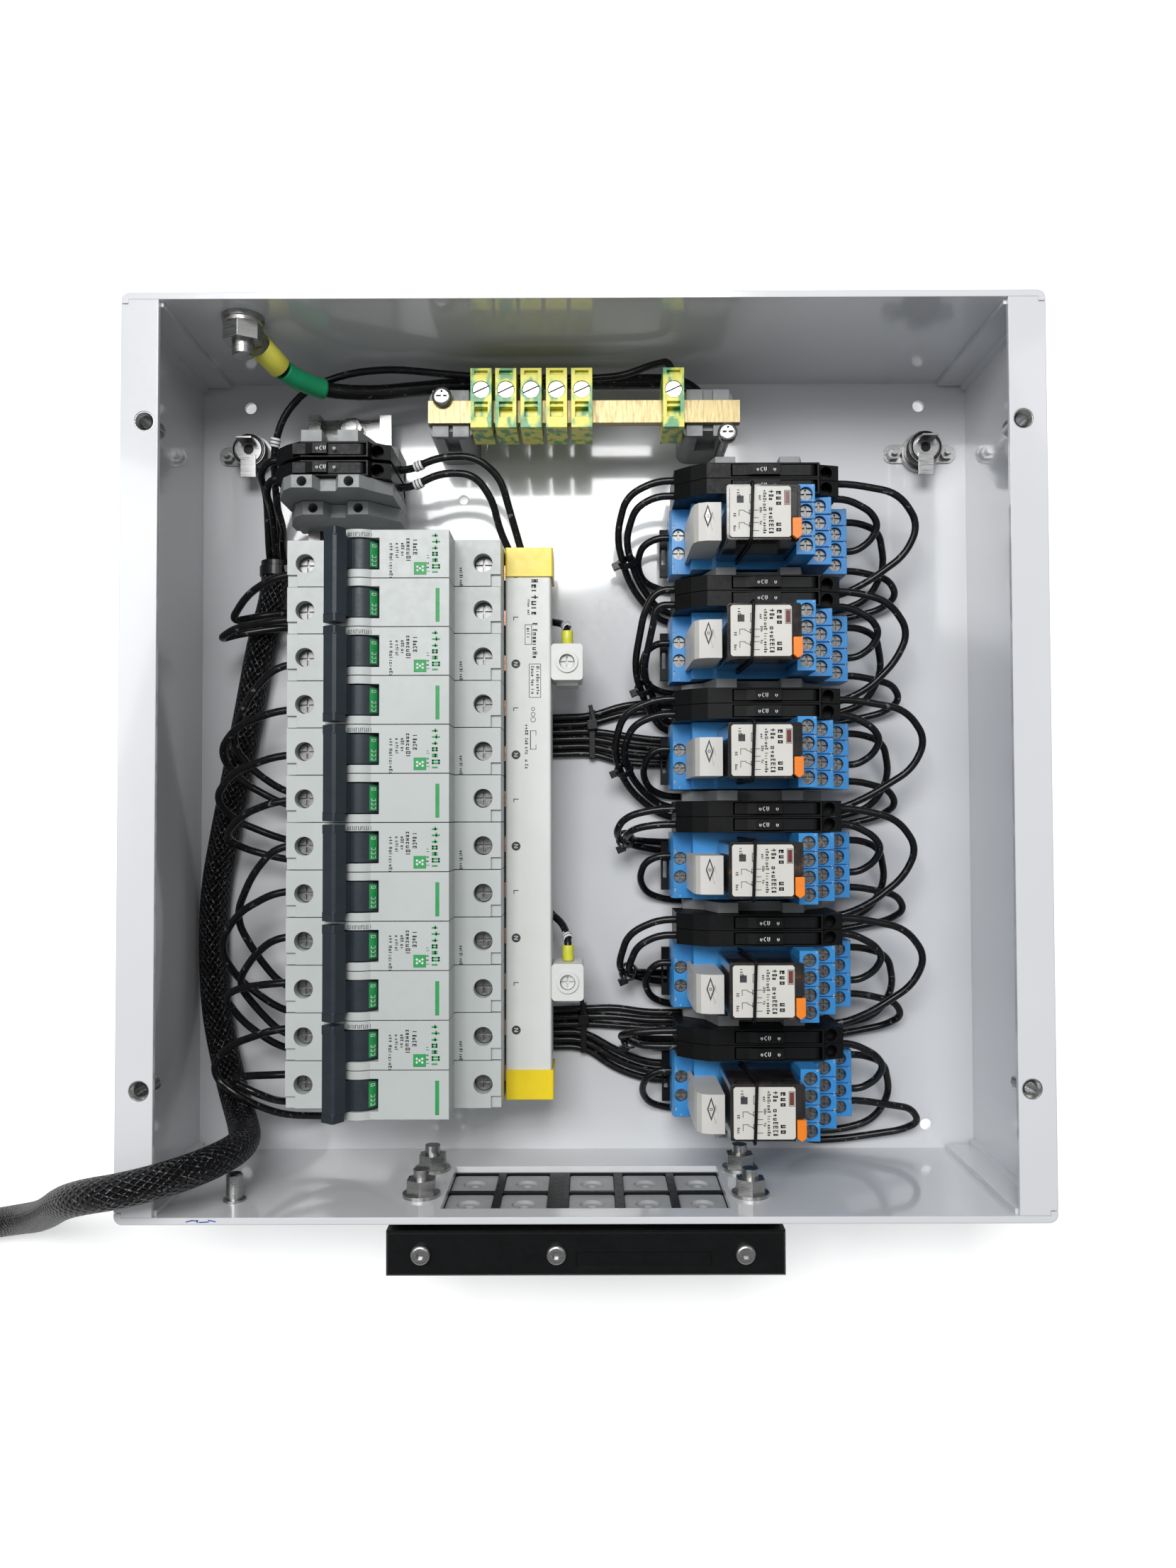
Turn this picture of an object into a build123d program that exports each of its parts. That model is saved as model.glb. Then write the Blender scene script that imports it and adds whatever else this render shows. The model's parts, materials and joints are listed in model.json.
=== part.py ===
"""Industrial switchboard cabinet, lying on its back with its cover off.

A painted steel wall box holds, on three mounting rails, six double-pole circuit
breakers, six plug-in relays in screw sockets, fused terminals and an earth bar.
Units are millimetres.  The origin is the middle of the outer face of the back.
+X is right and +Y is up for someone facing the open front, and +Z is out of it.
"""
from build123d import *
import os
from math import radians, sin, tan

# ---------------------------------------------------------------- enclosure
BOX_WIDTH = 334.0
BOX_HEIGHT = 334.0
BOX_DEPTH = 85.0
SHEET = 2.5                 # back, top and bottom wall, one folded sheet
CORNER_RADIUS = 3.0
BACK_EDGE_RADIUS = 2.0
LIP = 4.0                   # how far the folded sheet turns round each upright corner
SIDE_SHEET = 2.0            # bolted-in side panels
FLANGE = 13.5               # front flange of a side panel
STRIP_WIDTH = 12.0          # side panel's own fold, lying on the top and bottom walls
STRIP_RAISE = 2.0           # foot of that fold above the back
SEAM = 0.3                  # open seam between folded sheet and side panel
RIVET_NUT_X = 158.5
RIVET_NUT_Y = 120.0
RIVET_NUT_DIAMETER = 7.2
RIVET_NUT_LENGTH = 11.0
COVER_THREAD = 4.6
WALL_BOLT_X = 144.8
WALL_BOLT_Y = 154.5
WALL_BOLT_HOLE = 5.0
SPARE_HOLE = (-52.4, 114.1)
SPARE_HOLE_DIAMETER = 4.0

# ---------------------------------------------------------------- cable entry
ENTRY_WIDTH = 105.0
ENTRY_FLOOR = 27.0          # nearest edge of the cut-out to the back
ENTRY_DEPTH = 49.0
ENTRY_FRAME_WIDTH = 143.0
ENTRY_FRAME_BACK = 22.5
ENTRY_FRAME_SPLIT = 72.3    # where the frame ends and the clamp bar starts
ENTRY_FRAME_FRONT = 80.5
ENTRY_FRAME_HEIGHT = 20.0   # how far the frame stands out under the box
CLAMP_BAR_SETBACK = 4.0
ENTRY_BOLT_X = 61.5
ENTRY_BOLT_Z = (31.0, 62.0)
ENTRY_BOLT_DIAMETER = 6.0
CLAMP_SCREW_X = (-59.0, -10.5, 57.0)
GROMMET = 17.5
GROMMET_ROWS = (28.0, 51.0)
GROMMET_ROW_DEPTH = 21.0
GROMMET_STARTS = (-52.5, -32.0, -6.5, 14.5, 35.0)
GROMMET_FIT = 0.15

# ---------------------------------------------------------------- studs
EARTH_STUD_X = -127.5
EARTH_STUD_Z = 70.0
EARTH_STUD_DIAMETER = 8.0
EARTH_STUD_LENGTH = 15.0
BOND_STUD_X = -130.0
BOND_STUD_Z = 66.5
BOND_STUD_DIAMETER = 6.0
BOND_STUD_LENGTH = 10.0
LUG_THICK = 1.5
STUD_WASHER = 1.8
LUG_DIRECTION = (0.42, -0.35, -0.837)    # unit vector along the lug's barrel
LUG_BARREL = (11.0, 19.0)   # from the stud's axis

# ---------------------------------------------------------------- rails
RAIL_WIDTH = 35.0
RAIL_HEIGHT = 7.5
RAIL_SHEET = 1.0
RAIL_CHANNEL = 27.0
RAIL_SPACER = 5.0
RAIL_FACE = SHEET + RAIL_SPACER + RAIL_HEIGHT
TERMINAL_RAIL_X = -99.0
TERMINAL_RAIL_Y = (91.0, 147.0)
BREAKER_RAIL_X = -72.7
RELAY_RAIL_X = 71.0
RAIL_FASTENERS = (
    (TERMINAL_RAIL_X, 142.5), (TERMINAL_RAIL_X, 96.0),
    (BREAKER_RAIL_X, 76.0), (BREAKER_RAIL_X, -60.0),
    (RELAY_RAIL_X, 117.0), (RELAY_RAIL_X, -152.5),
)
RAIL_STUD_DIAMETER = 5.0
CLIP_GAP = 0.15             # clearance of a rail foot round the rail's brims
CLIP_DROP = 4.0
CLIP_WIDTH = 3.0

# ---------------------------------------------------------------- breakers
POLES = 12
POLE_PITCH = 18.0
POLE_GAP = 0.3
BREAKER_STACK_Y = -25.0
BREAKER_LENGTH = 81.6
BREAKER_NOSE = 45.6
BREAKER_NOSE_OFFSET = 0.3
SHOULDER_RISE = 44.0        # above the rail's face
NOSE_RISE = 60.0
BREAKER_UNDERCUT = 4.0      # casing ends above the rail's face, away from the rail
TERMINAL_SCREW_OFFSET = 34.0
TERMINAL_SCREW_HOLE = 7.2
BREAKER_WIRE_RISE = 25.0
TOGGLE_OFFSET = -10.3
TOGGLE_DROP = 6.8           # pivot below the nose
TOGGLE_BARREL_RADIUS = 7.3
TOGGLE_CLEARANCE = 0.4
TOGGLE_BARREL_WIDTH = 11.0
TOGGLE_TILT = 34.0
TOGGLE_NECK = 4.0
TOGGLE_BAR = 6.6
TOGGLE_BAR_RADII = (10.8, 17.0)
RIB_RADIUS = 8.3

# ---------------------------------------------------------------- busbar
BUSBAR_GAP = 0.6
BUSBAR_WIDTH = 18.0
BUSBAR_Z = (24.0, 43.0)
BUSBAR_WALL = 1.5
BUSBAR_CAP = 10.0
BUSBAR_TOOTH = (6.0, 1.6)
CONNECTOR_SIZE = (12.6, 14.5)
CONNECTOR_Y = (38.2, -88.1)
FERRULE_Z = 33.0

# ---------------------------------------------------------------- relays
GROUPS = 6
GROUP_PITCH = 44.1
FIRST_GROUP_Y = 89.4
SOCKET_X = (35.0, 107.5)
SOCKET_WIDTH = 26.8
SOCKET_COIL_Z = 28.0
SOCKET_SEAT_Z = 37.0
SOCKET_STEPS = ((87.6, 63.0), (97.5, 45.5), (107.5, 27.6))
SOCKET_UNDERSIDE = 12.0
SOCKET_SCREW_PITCH = 6.5
SOCKET_SCREW_DIAMETER = 5.2
RELAY_SIZE = (27.4, 20.7, 37.0)
RELAY_X = 66.5
MODULE_X = (41.0, 51.5)
MODULE_WIDTH = 14.5
MODULE_TOP = 68.0
COIL_WIRE = (3.5, 20.0)     # y offset and z of the wire hole at the coil side
SOCKET_WIRES = ((9.8, 20.0), (-9.8, 16.5), (-3.2, 23.5))
BUTTON_X = 79.0
BUTTON_OFFSET_Y = -6.3

# ---------------------------------------------------------------- fuse terminals
FUSE_WIDTH = 6.0
FUSE_PITCH = 6.2
FUSE_X = (36.0, 100.5)
FUSE_TOP = 50.0
FUSE_LEVER_X = (58.0, 91.0)
FUSE_LEVER_THICK = 5.0
FUSE_RIGHT_WIRE_Z = (31.0, 21.0)
FUSE_LEFT_WIRE_DROP = 14.0  # below the terminal's top
BRACKET_WIDTH = 4.0

# ---------------------------------------------------------------- terminal group
TERMINAL_X = (-121.0, -75.0)
TERMINAL_FUSE_Y = (108.2, 115.5)
TERMINAL_FUSE_TOP = 58.0
TERMINAL_LEVER_X = (-112.0, -84.0)

# ---------------------------------------------------------------- earth bar
PE_BAR_X = 62.5
PE_BAR_Y = (134.6, 143.7)
PE_BAR_Z = (36.0, 40.0)
PE_SUPPORT_X = ((-62.5, -44.8), (39.7, 60.0))
PE_SUPPORT_Y = (129.5, 149.5)
PE_TERMINAL_X = (-40.3, -30.6, -20.7, -10.7, -0.8, 35.2)
PE_TERMINAL_WIDTH = 8.3
PE_TERMINAL_Y = (129.4, 152.9)
PE_TERMINAL_Z = (29.5, 50.0)
PE_FIXINGS = ((-56.7, 144.7), (57.3, 129.9))
PE_SCREW_Y = 144.4
PE_WIRE_Z = 44.0

# ---------------------------------------------------------------- thermostats
THERMOSTATS = ((144.7, 133.3), (-142.5, 133.1))
THERMOSTAT_HOLE_PITCH = 22.8

# ---------------------------------------------------------------- wiring
WIRE = 3.0
THIN_WIRE = 2.9
EARTH_CABLE = 6.0
LOOM = 12.0
FLOOR_WIRE_Z = SHEET + WIRE / 2 + 0.2
# Where each pole's wire turns back: furthest left, middle height, height under the casing.
BREAKER_LOOPS = (
    (-145.0, 57.0, 63.5), (-150.0, 49.5, 57.5), (-144.5, 7.5, -15.5), (-149.5, 3.5, -21.0),
    (-151.0, -15.5, -35.0), (-147.0, -31.0, -42.0), (-142.5, -63.5, -98.0), (-149.0, -76.0, -107.5),
    (-141.5, -90.0, -116.5), (-147.0, -95.5, -122.5), (-152.5, -126.5, -149.0), (-145.0, -129.0, -142.5),
)
LOW_LOOPS = (10, 11)        # these cross over the rising sleeve

TRUNKS = ((0, 1, 2, 3, 4, 5), (6, 7, 8, 9, 11, 10))
TRUNK_Y = (10.8, -113.8)
TIE_PLACE = ((3.0, 12.0), (-1.0, -112.8))
TRUNK_PITCH = WIRE + 0.15
FAN_Y = ((25.6, 22.4, 9.5, 6.0, 2.5, -1.0), (-106.6, -109.9, -113.2, -128.0, -131.5, -135.0))
FAN_TOP = ((16.0, 16.0, 12.0, 12.0, 12.0, 12.0), (16.0, 16.0, 16.0, 12.0, 12.0, 12.0))
RISE_X = 48.2

# For each relay group: furthest left, its height above the socket's middle, and the
# height at which the two wires dive under the column.
FEED_LOOPS = ((13.0, 3.0, -26.0), (20.0, -8.0, -28.5), (11.5, 3.0, -21.0),
              (12.0, 12.5, 8.5), (13.0, 2.0, -3.0), (13.5, 18.5, 13.0))
FEED_RIGHT = (-25.6, -29.6)
FEED_PITCH = 4.2
RIGHT_REACH = ((127.0, 132.0, 137.0), (125.5, 133.0, 132.5), (128.0, 131.0, 139.0),
               (126.0, 134.0, 135.0), (129.0, 132.5, 138.0), (127.0, 139.0, 136.0))
COIL_REACH = (22.0, 23.5, 24.0, 22.5, 24.5, 23.0)

PE_WIRE_ROUTE = (
    (-131.8, 86.8, 5.9), (-130.5, 97.0, 7.0), (-129.5, 112.0, 18.0), (-128.0, 128.0, 27.0),
    (-123.5, 141.0, 30.0), (-113.5, 152.0, 31.0), (-97.0, 158.5, 31.0), (-78.0, 160.5, 30.5),
    (-54.0, 158.0, 30.2), (-28.0, 156.2, 30.0), (0.0, 156.2, 30.0), (16.0, 156.6, 32.0), (27.0, 158.6, 38.0),
    (33.5, 158.2, 43.0), (35.2, 153.5, 44.0), (35.2, 148.2, 44.0),
)
EARTH_CABLE_WAY = (         # onwards from the lug's barrel
    (-106.0, 150.6, 33.0), (-88.0, 151.8, 26.5),
    (-66.0, 155.2, 23.0), (-40.0, 158.2, 21.5), (-12.0, 158.6, 21.0), (14.0, 158.2, 21.5),
    (33.0, 158.6, 21.0), (43.0, 156.8, 20.5), (48.6, 151.8, 20.2),
)
SUPPLY_ROUTES = (
    (
        (-80.0, 118.5, 31.0), (-71.0, 118.5, 31.0), (-59.0, 122.5, 35.0), (-44.0, 122.5, 36.0),
        (-34.0, 114.5, 34.0), (-30.5, 102.0, 29.0), (-27.0, 90.0, 22.0), (-23.0, 76.0, 19.5),
        (-20.0, 64.0, 19.0), (-15.0, 58.0, 20.0), (-9.0, 56.5, 25.0), (-7.0, 52.5, 32.0), (-7.0, 40.5, 33.0),
    ),
    (
        (-80.0, 111.2, 31.0), (-71.0, 111.2, 31.0), (-58.0, 116.5, 34.0), (-44.5, 115.5, 35.0),
        (-37.5, 106.5, 31.0), (-35.0, 95.0, 24.0), (-29.5, 84.0, 18.0), (-28.0, 62.0, 16.5),
        (-27.5, 34.0, 16.5), (-27.0, 4.0, 17.0), (-25.5, -26.0, 17.0), (-22.0, -50.0, 18.0),
        (-15.5, -62.0, 19.5), (-9.0, -67.0, 24.5), (-7.0, -72.5, 31.5), (-7.0, -85.8, 33.0),
    ),
)

# ---------------------------------------------------------------- loom
LOOM_ROUTE = (
    (-131.5, 86.0, 9.0), (-131.5, 73.0, 9.0), (-137.5, 52.0, 9.5), (-142.0, 27.0, 9.0),
    (-147.0, 0.0, 9.0), (-152.0, -26.0, 9.5), (-157.0, -54.0, 9.0), (-157.5, -80.0, 9.0),
    (-156.0, -104.0, 9.5), (-151.5, -124.0, 11.0), (-145.0, -140.0, 17.0), (-137.0, -147.0, 32.0),
    (-130.5, -147.2, 52.0), (-130.5, -146.0, 74.0), (-139.0, -146.5, 93.0), (-156.0, -149.5, 101.0),
    (-174.0, -153.5, 96.0), (-188.0, -161.0, 80.0), (-201.0, -170.5, 60.0), (-215.0, -179.5, 40.0),
    (-230.0, -187.0, 21.0), (-247.0, -193.0, 8.5), (-266.0, -196.5, 6.2), (-284.0, -196.5, 6.2),
)
CONNECTOR_BODY = (34.0, 22.0, 12.4)

# ---------------------------------------------------------------- places that follow from these

HALF_W = BOX_WIDTH / 2
HALF_H = BOX_HEIGHT / 2
INNER_W = HALF_W - SHEET
INNER_H = HALF_H - SHEET
BREAKER_LEFT = BREAKER_RAIL_X - BREAKER_LENGTH / 2
BREAKER_RIGHT = BREAKER_RAIL_X + BREAKER_LENGTH / 2
STACK_TOP = BREAKER_STACK_Y + POLES * POLE_PITCH / 2
STACK_BOTTOM = BREAKER_STACK_Y - POLES * POLE_PITCH / 2
SHOULDER_Z = RAIL_FACE + SHOULDER_RISE
NOSE_Z = RAIL_FACE + NOSE_RISE
BREAKER_WIRE_Z = RAIL_FACE + BREAKER_WIRE_RISE
TOGGLE_X = BREAKER_RAIL_X + TOGGLE_OFFSET
BUSBAR_X = (BREAKER_RIGHT + BUSBAR_GAP, BREAKER_RIGHT + BUSBAR_GAP + BUSBAR_WIDTH)
TOGGLE_Z = NOSE_Z - TOGGLE_DROP
LUG_Y = INNER_H - STUD_WASHER - LUG_THICK
GROUP_Y = [FIRST_GROUP_Y - GROUP_PITCH * g for g in range(GROUPS)]


# ---------------------------------------------------------------- helpers
def block(low, high):
    """Box between two corners."""
    size = [b - a for a, b in zip(low, high)]
    return Pos(*low) * Box(*size, align=(Align.MIN, Align.MIN, Align.MIN))


def rod(start, direction, radius, length):
    """Cylinder from a point along a direction."""
    plane = Plane(origin=start, z_dir=direction)
    return plane * Cylinder(radius, length, align=(Align.CENTER, Align.CENTER, Align.MIN))


def hexagon(start, direction, across_flats, length):
    """Hexagonal prism from a point along a direction."""
    plane = Plane(origin=start, z_dir=direction)
    return plane * extrude(RegularPolygon(across_flats / 2, 6, major_radius=False), length)


def slab(outline, y_low, y_high):
    """Outline of (x, z) points, extruded along Y."""
    face = make_face(Polyline(*[(x, y_low, z) for x, z in outline], close=True))
    return extrude(face, amount=y_high - y_low, dir=(0, 1, 0))


def save(name, *shapes):
    """Write one node, a STEP file of separate solids."""
    solids = [solid for shape in shapes for solid in shape.solids()]
    export_step(Compound(label=name, children=solids), f"parts/{name}.step")


def rail_foot(rail_x, top):
    """Two (x, z) outline stretches that clip over a rail, right to left, from height top."""
    reach = RAIL_WIDTH / 2 + CLIP_GAP
    low = RAIL_FACE - CLIP_DROP
    return [
        (rail_x + reach + CLIP_WIDTH, top), (rail_x + reach + CLIP_WIDTH, low),
        (rail_x + reach, low), (rail_x + reach, RAIL_FACE),
        (rail_x - reach, RAIL_FACE), (rail_x - reach, low),
        (rail_x - reach - CLIP_WIDTH, low), (rail_x - reach - CLIP_WIDTH, top),
    ]


def corner_radii(points):
    """Largest even arc at each corner: 0.45 of the shorter run over tan(half turn)."""
    vectors = [Vector(*p) for p in points]
    runs = [b - a for a, b in zip(vectors, vectors[1:])]
    radii = []
    for before, after in zip(runs, runs[1:]):
        half_turn = radians(before.get_angle(after)) / 2
        radii.append(0.45 * min(before.length, after.length) / tan(half_turn))
    return radii


def tube(points, diameter):
    """Round tube along straight runs joined by tangent arcs."""
    places = [Vector(*p) for p in points]
    edges = []
    start = places[0]
    for before, corner, after, radius in zip(places, places[1:], places[2:], corner_radii(points)):
        back = (before - corner).normalized()
        onward = (after - corner).normalized()
        half_inside = radians(back.get_angle(onward)) / 2
        trim = radius / tan(half_inside)
        centre = corner + (back + onward).normalized() * (radius / sin(half_inside))
        middle = centre + (corner - centre).normalized() * radius
        bend = Edge.make_three_point_arc(corner + back * trim, middle, corner + onward * trim)
        edges += [Edge.make_line(start, bend @ 0), bend]
        start = bend @ 1
    edges.append(Edge.make_line(start, places[-1]))
    path = Wire(edges)
    section = Plane(origin=path @ 0, z_dir=path % 0) * Circle(diameter / 2)
    return sweep(section, path=path)


# ---------------------------------------------------------------- enclosure parts
def enclosure_wrap():
    """Back, top wall and bottom wall, folded from one sheet."""
    shell = extrude(RectangleRounded(BOX_WIDTH, BOX_HEIGHT, CORNER_RADIUS), BOX_DEPTH)
    shell = fillet(shell.faces().sort_by(Axis.Z)[0].edges(), BACK_EDGE_RADIUS)
    shell -= block((-INNER_W, -INNER_H, SHEET), (INNER_W, INNER_H, BOX_DEPTH))
    for side in (-1, 1):
        edge = sorted((side * INNER_W, side * HALF_W))
        shell -= block((edge[0], LIP - HALF_H, SHEET), (edge[1], HALF_H - LIP, BOX_DEPTH))
    shell -= block(
        (-ENTRY_WIDTH / 2, -HALF_H, ENTRY_FLOOR),
        (ENTRY_WIDTH / 2, -INNER_H, ENTRY_FLOOR + ENTRY_DEPTH),
    )
    for x in (-ENTRY_BOLT_X, ENTRY_BOLT_X):
        for z in ENTRY_BOLT_Z:
            shell -= rod((x, -HALF_H, z), (0, 1, 0), ENTRY_BOLT_DIAMETER / 2 + 0.2, SHEET)
    for x in (-WALL_BOLT_X, WALL_BOLT_X):
        for y in (-WALL_BOLT_Y, WALL_BOLT_Y):
            shell -= rod((x, y, 0), (0, 0, 1), WALL_BOLT_HOLE / 2, SHEET)
    shell -= rod((*SPARE_HOLE, 0), (0, 0, 1), SPARE_HOLE_DIAMETER / 2, SHEET)
    return shell


def side_panel():
    """Right-hand side panel: wall, front flange and two folds along top and bottom."""
    inner = HALF_W - SIDE_SHEET
    end = HALF_H - LIP - SEAM
    front = BOX_DEPTH - SIDE_SHEET
    panel = block((inner, -end, SHEET), (HALF_W, end, BOX_DEPTH))
    panel += block((HALF_W - FLANGE, -INNER_H, front), (INNER_W, INNER_H, BOX_DEPTH))
    panel += block((HALF_W - FLANGE, -end, front), (HALF_W, end, BOX_DEPTH))
    foot = SHEET + STRIP_RAISE
    for side in (-1, 1):
        fold = sorted((side * (INNER_H - SIDE_SHEET), side * INNER_H))
        root = sorted((side * (end - SIDE_SHEET), side * end))
        panel += block((INNER_W - STRIP_WIDTH, fold[0], foot), (INNER_W, fold[1], front))
        panel += block((INNER_W - SIDE_SHEET, root[0], foot), (HALF_W, root[1], front))
        panel -= rod(
            (RIVET_NUT_X, side * RIVET_NUT_Y, front), (0, 0, 1),
            RIVET_NUT_DIAMETER / 2 + 0.05, SIDE_SHEET,
        )
    return panel


def cover_rivet_nuts():
    """Threaded inserts for the cover's screws, one in each end of each flange."""
    nuts = []
    for x in (-RIVET_NUT_X, RIVET_NUT_X):
        for y in (-RIVET_NUT_Y, RIVET_NUT_Y):
            top = BOX_DEPTH - 0.2
            nut = rod((x, y, top), (0, 0, -1), RIVET_NUT_DIAMETER / 2, RIVET_NUT_LENGTH)
            nut -= rod((x, y, top), (0, 0, -1), COVER_THREAD / 2, RIVET_NUT_LENGTH)
            mouth = Pos(x, y, top) * Cone(COVER_THREAD / 2, RIVET_NUT_DIAMETER / 2 - 0.3, 1.2,
                                          align=(Align.CENTER, Align.CENTER, Align.MAX))
            nuts.append(nut - mouth)
    return nuts


# ---------------------------------------------------------------- cable entry parts
def grommet_places():
    """(x, z) of the low corner of each grommet's window."""
    return [(x, z) for z in GROMMET_ROWS for x in GROMMET_STARTS]


def entry_bolt_places():
    """(x, z) of each bolt that holds the entry frame."""
    return [(x, z) for x in (-ENTRY_BOLT_X, ENTRY_BOLT_X) for z in ENTRY_BOLT_Z]


def cable_entry_frame():
    """Comb-shaped frame under the bottom wall, open to the front for the grommets."""
    low = -HALF_H - ENTRY_FRAME_HEIGHT
    half = ENTRY_FRAME_WIDTH / 2
    frame = block((-half, low, ENTRY_FRAME_BACK), (half, -HALF_H, ENTRY_FRAME_SPLIT))
    frame = chamfer(frame.edges().filter_by(Axis.Y), 3)
    for x, z in grommet_places():
        frame -= block((x, low, z), (x + GROMMET, -HALF_H, z + GROMMET_ROW_DEPTH))
    for x, z in entry_bolt_places():
        frame -= rod((x, low, z), (0, 1, 0), ENTRY_BOLT_DIAMETER / 2 + 0.2, ENTRY_FRAME_HEIGHT)
        frame -= rod((x, low, z), (0, 1, 0), ENTRY_BOLT_DIAMETER - 0.5, 6.5)
    for x in CLAMP_SCREW_X:
        frame -= rod((x, clamp_screw_y(), ENTRY_FRAME_SPLIT - 6), (0, 0, 1), 2.0, 6)
    return frame


def clamp_screw_y():
    """Height of the clamp bar's screws, in the middle of the bar."""
    return -HALF_H - (ENTRY_FRAME_HEIGHT + CLAMP_BAR_SETBACK) / 2


def cable_entry_clamp_bar():
    """Bar that closes the frame's comb, with a plain recess on its face."""
    half = ENTRY_FRAME_WIDTH / 2
    low = -HALF_H - ENTRY_FRAME_HEIGHT
    bar = block((-half, low, ENTRY_FRAME_SPLIT), (half, -HALF_H - CLAMP_BAR_SETBACK, ENTRY_FRAME_FRONT))
    bar = chamfer(bar.faces().sort_by(Axis.Z)[-1].edges(), 0.8)
    bar -= block((-3.5, low + 3, ENTRY_FRAME_FRONT - 0.8), (45, low + 8.5, ENTRY_FRAME_FRONT))
    for x in CLAMP_SCREW_X:
        bar -= rod((x, clamp_screw_y(), ENTRY_FRAME_SPLIT), (0, 0, 1), 2.0, 10)
    return bar


def cable_entry_grommets():
    """Rubber blanks with a dimple, one in each window of the comb."""
    low = -HALF_H - ENTRY_FRAME_HEIGHT + 1
    top = -HALF_H - 1
    rubber = []
    for x, z in grommet_places():
        fit = GROMMET_FIT
        piece = block((x + fit, low, z + fit), (x + GROMMET - fit, top, z + GROMMET_ROW_DEPTH - fit))
        centre = (x + GROMMET / 2, top, z + GROMMET_ROW_DEPTH / 2)
        piece = fillet(piece.edges().filter_by(Axis.Y), 1.5)
        piece -= rod(centre, (0, -1, 0), 4.5, 1.2)
        rubber.append(piece - rod(centre, (0, -1, 0), 2.0, 3.0))
    return rubber


def cable_entry_screws():
    """Three button-head screws through the clamp bar."""
    screws = []
    for x in CLAMP_SCREW_X:
        y = clamp_screw_y()
        head = rod((x, y, ENTRY_FRAME_FRONT), (0, 0, 1), 3.65, 2.2)
        head = fillet(head.faces().sort_by(Axis.Z)[-1].edges(), 1.4)
        shank = rod((x, y, ENTRY_FRAME_FRONT), (0, 0, -1), 1.95, 13)
        socket = hexagon((x, y, ENTRY_FRAME_FRONT + 0.9), (0, 0, 1), 2.5, 2)
        screws.append(head + shank - socket)
    return screws


def cable_entry_bolts():
    """Four bolts up through the bottom wall, each with its flanged nut inside the box."""
    pieces = []
    head_y = -HALF_H - ENTRY_FRAME_HEIGHT + 6.5
    for x, z in entry_bolt_places():
        radius = ENTRY_BOLT_DIAMETER / 2
        bolt = rod((x, head_y - 5.5, z), (0, 1, 0), 5.0, 5.5)
        bolt += rod((x, head_y, z), (0, 1, 0), radius, -INNER_H + 10 - head_y)
        bolt -= hexagon((x, head_y - 5.5, z), (0, 1, 0), 5, 3)
        nut = rod((x, -INNER_H, z), (0, 1, 0), 7.0, 1.3) + hexagon((x, -INNER_H, z), (0, 1, 0), 10, 6.5)
        nut -= rod((x, -INNER_H, z), (0, 1, 0), radius + 0.02, 8)
        pieces += [bolt, nut]
    return pieces


# ---------------------------------------------------------------- studs


def earth_studs():
    """Earth stud with washer and nut on the top wall, and a bare stud on the bottom wall."""
    centre = (EARTH_STUD_X, INNER_H, EARTH_STUD_Z)
    radius = EARTH_STUD_DIAMETER / 2
    stud = rod(centre, (0, -1, 0), radius, EARTH_STUD_LENGTH)
    stud = chamfer(stud.faces().sort_by(Axis.Y)[0].edges(), 0.6)
    washer = rod(centre, (0, -1, 0), 7.8, STUD_WASHER) - rod(centre, (0, -1, 0), radius + 0.02, STUD_WASHER)
    face = (EARTH_STUD_X, LUG_Y, EARTH_STUD_Z)
    nut = hexagon(face, (0, -1, 0), 13, 6.5) - rod(face, (0, -1, 0), radius + 0.02, 6.5)
    foot = (BOND_STUD_X, -INNER_H, BOND_STUD_Z)
    bond = rod(foot, (0, 1, 0), BOND_STUD_DIAMETER / 2, BOND_STUD_LENGTH)
    bond = chamfer(bond.faces().sort_by(Axis.Y)[-1].edges(), 0.6)
    bond += rod(foot, (0, 1, 0), BOND_STUD_DIAMETER / 2 + 1.2, 0.8)
    return [stud, washer, nut, bond]


def earth_lug():
    """Ring lug on the earth stud, with its barrel."""
    ring = rod((EARTH_STUD_X, LUG_Y, EARTH_STUD_Z), (0, 1, 0), 7.0, LUG_THICK)
    ring -= rod((EARTH_STUD_X, LUG_Y, EARTH_STUD_Z), (0, 1, 0), EARTH_STUD_DIAMETER / 2 + 0.1, LUG_THICK)
    low, high = LUG_BARREL
    barrel = rod(lug_place(low), LUG_DIRECTION, 4.2, high - low)
    middle = (EARTH_STUD_X, LUG_Y + LUG_THICK / 2, EARTH_STUD_Z)
    flat = Plane(origin=middle, x_dir=(LUG_DIRECTION[0], 0, LUG_DIRECTION[2]), z_dir=(0, 1, 0))
    tongue = flat * Pos(7, 0, 0) * Box(5, 6, LUG_THICK)
    bent = flat * Pos(8.8, 0, -0.4) * Rot(0, 21, 0) * Pos(2.6, 0, 0) * Box(6, 6, LUG_THICK)
    return ring + barrel + tongue + bent


def lug_place(distance):
    """Point on the axis of the lug's barrel, measured from the stud."""
    start = (EARTH_STUD_X, LUG_Y - 1.2, EARTH_STUD_Z)
    return tuple(a + distance * b for a, b in zip(start, LUG_DIRECTION))


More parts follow.
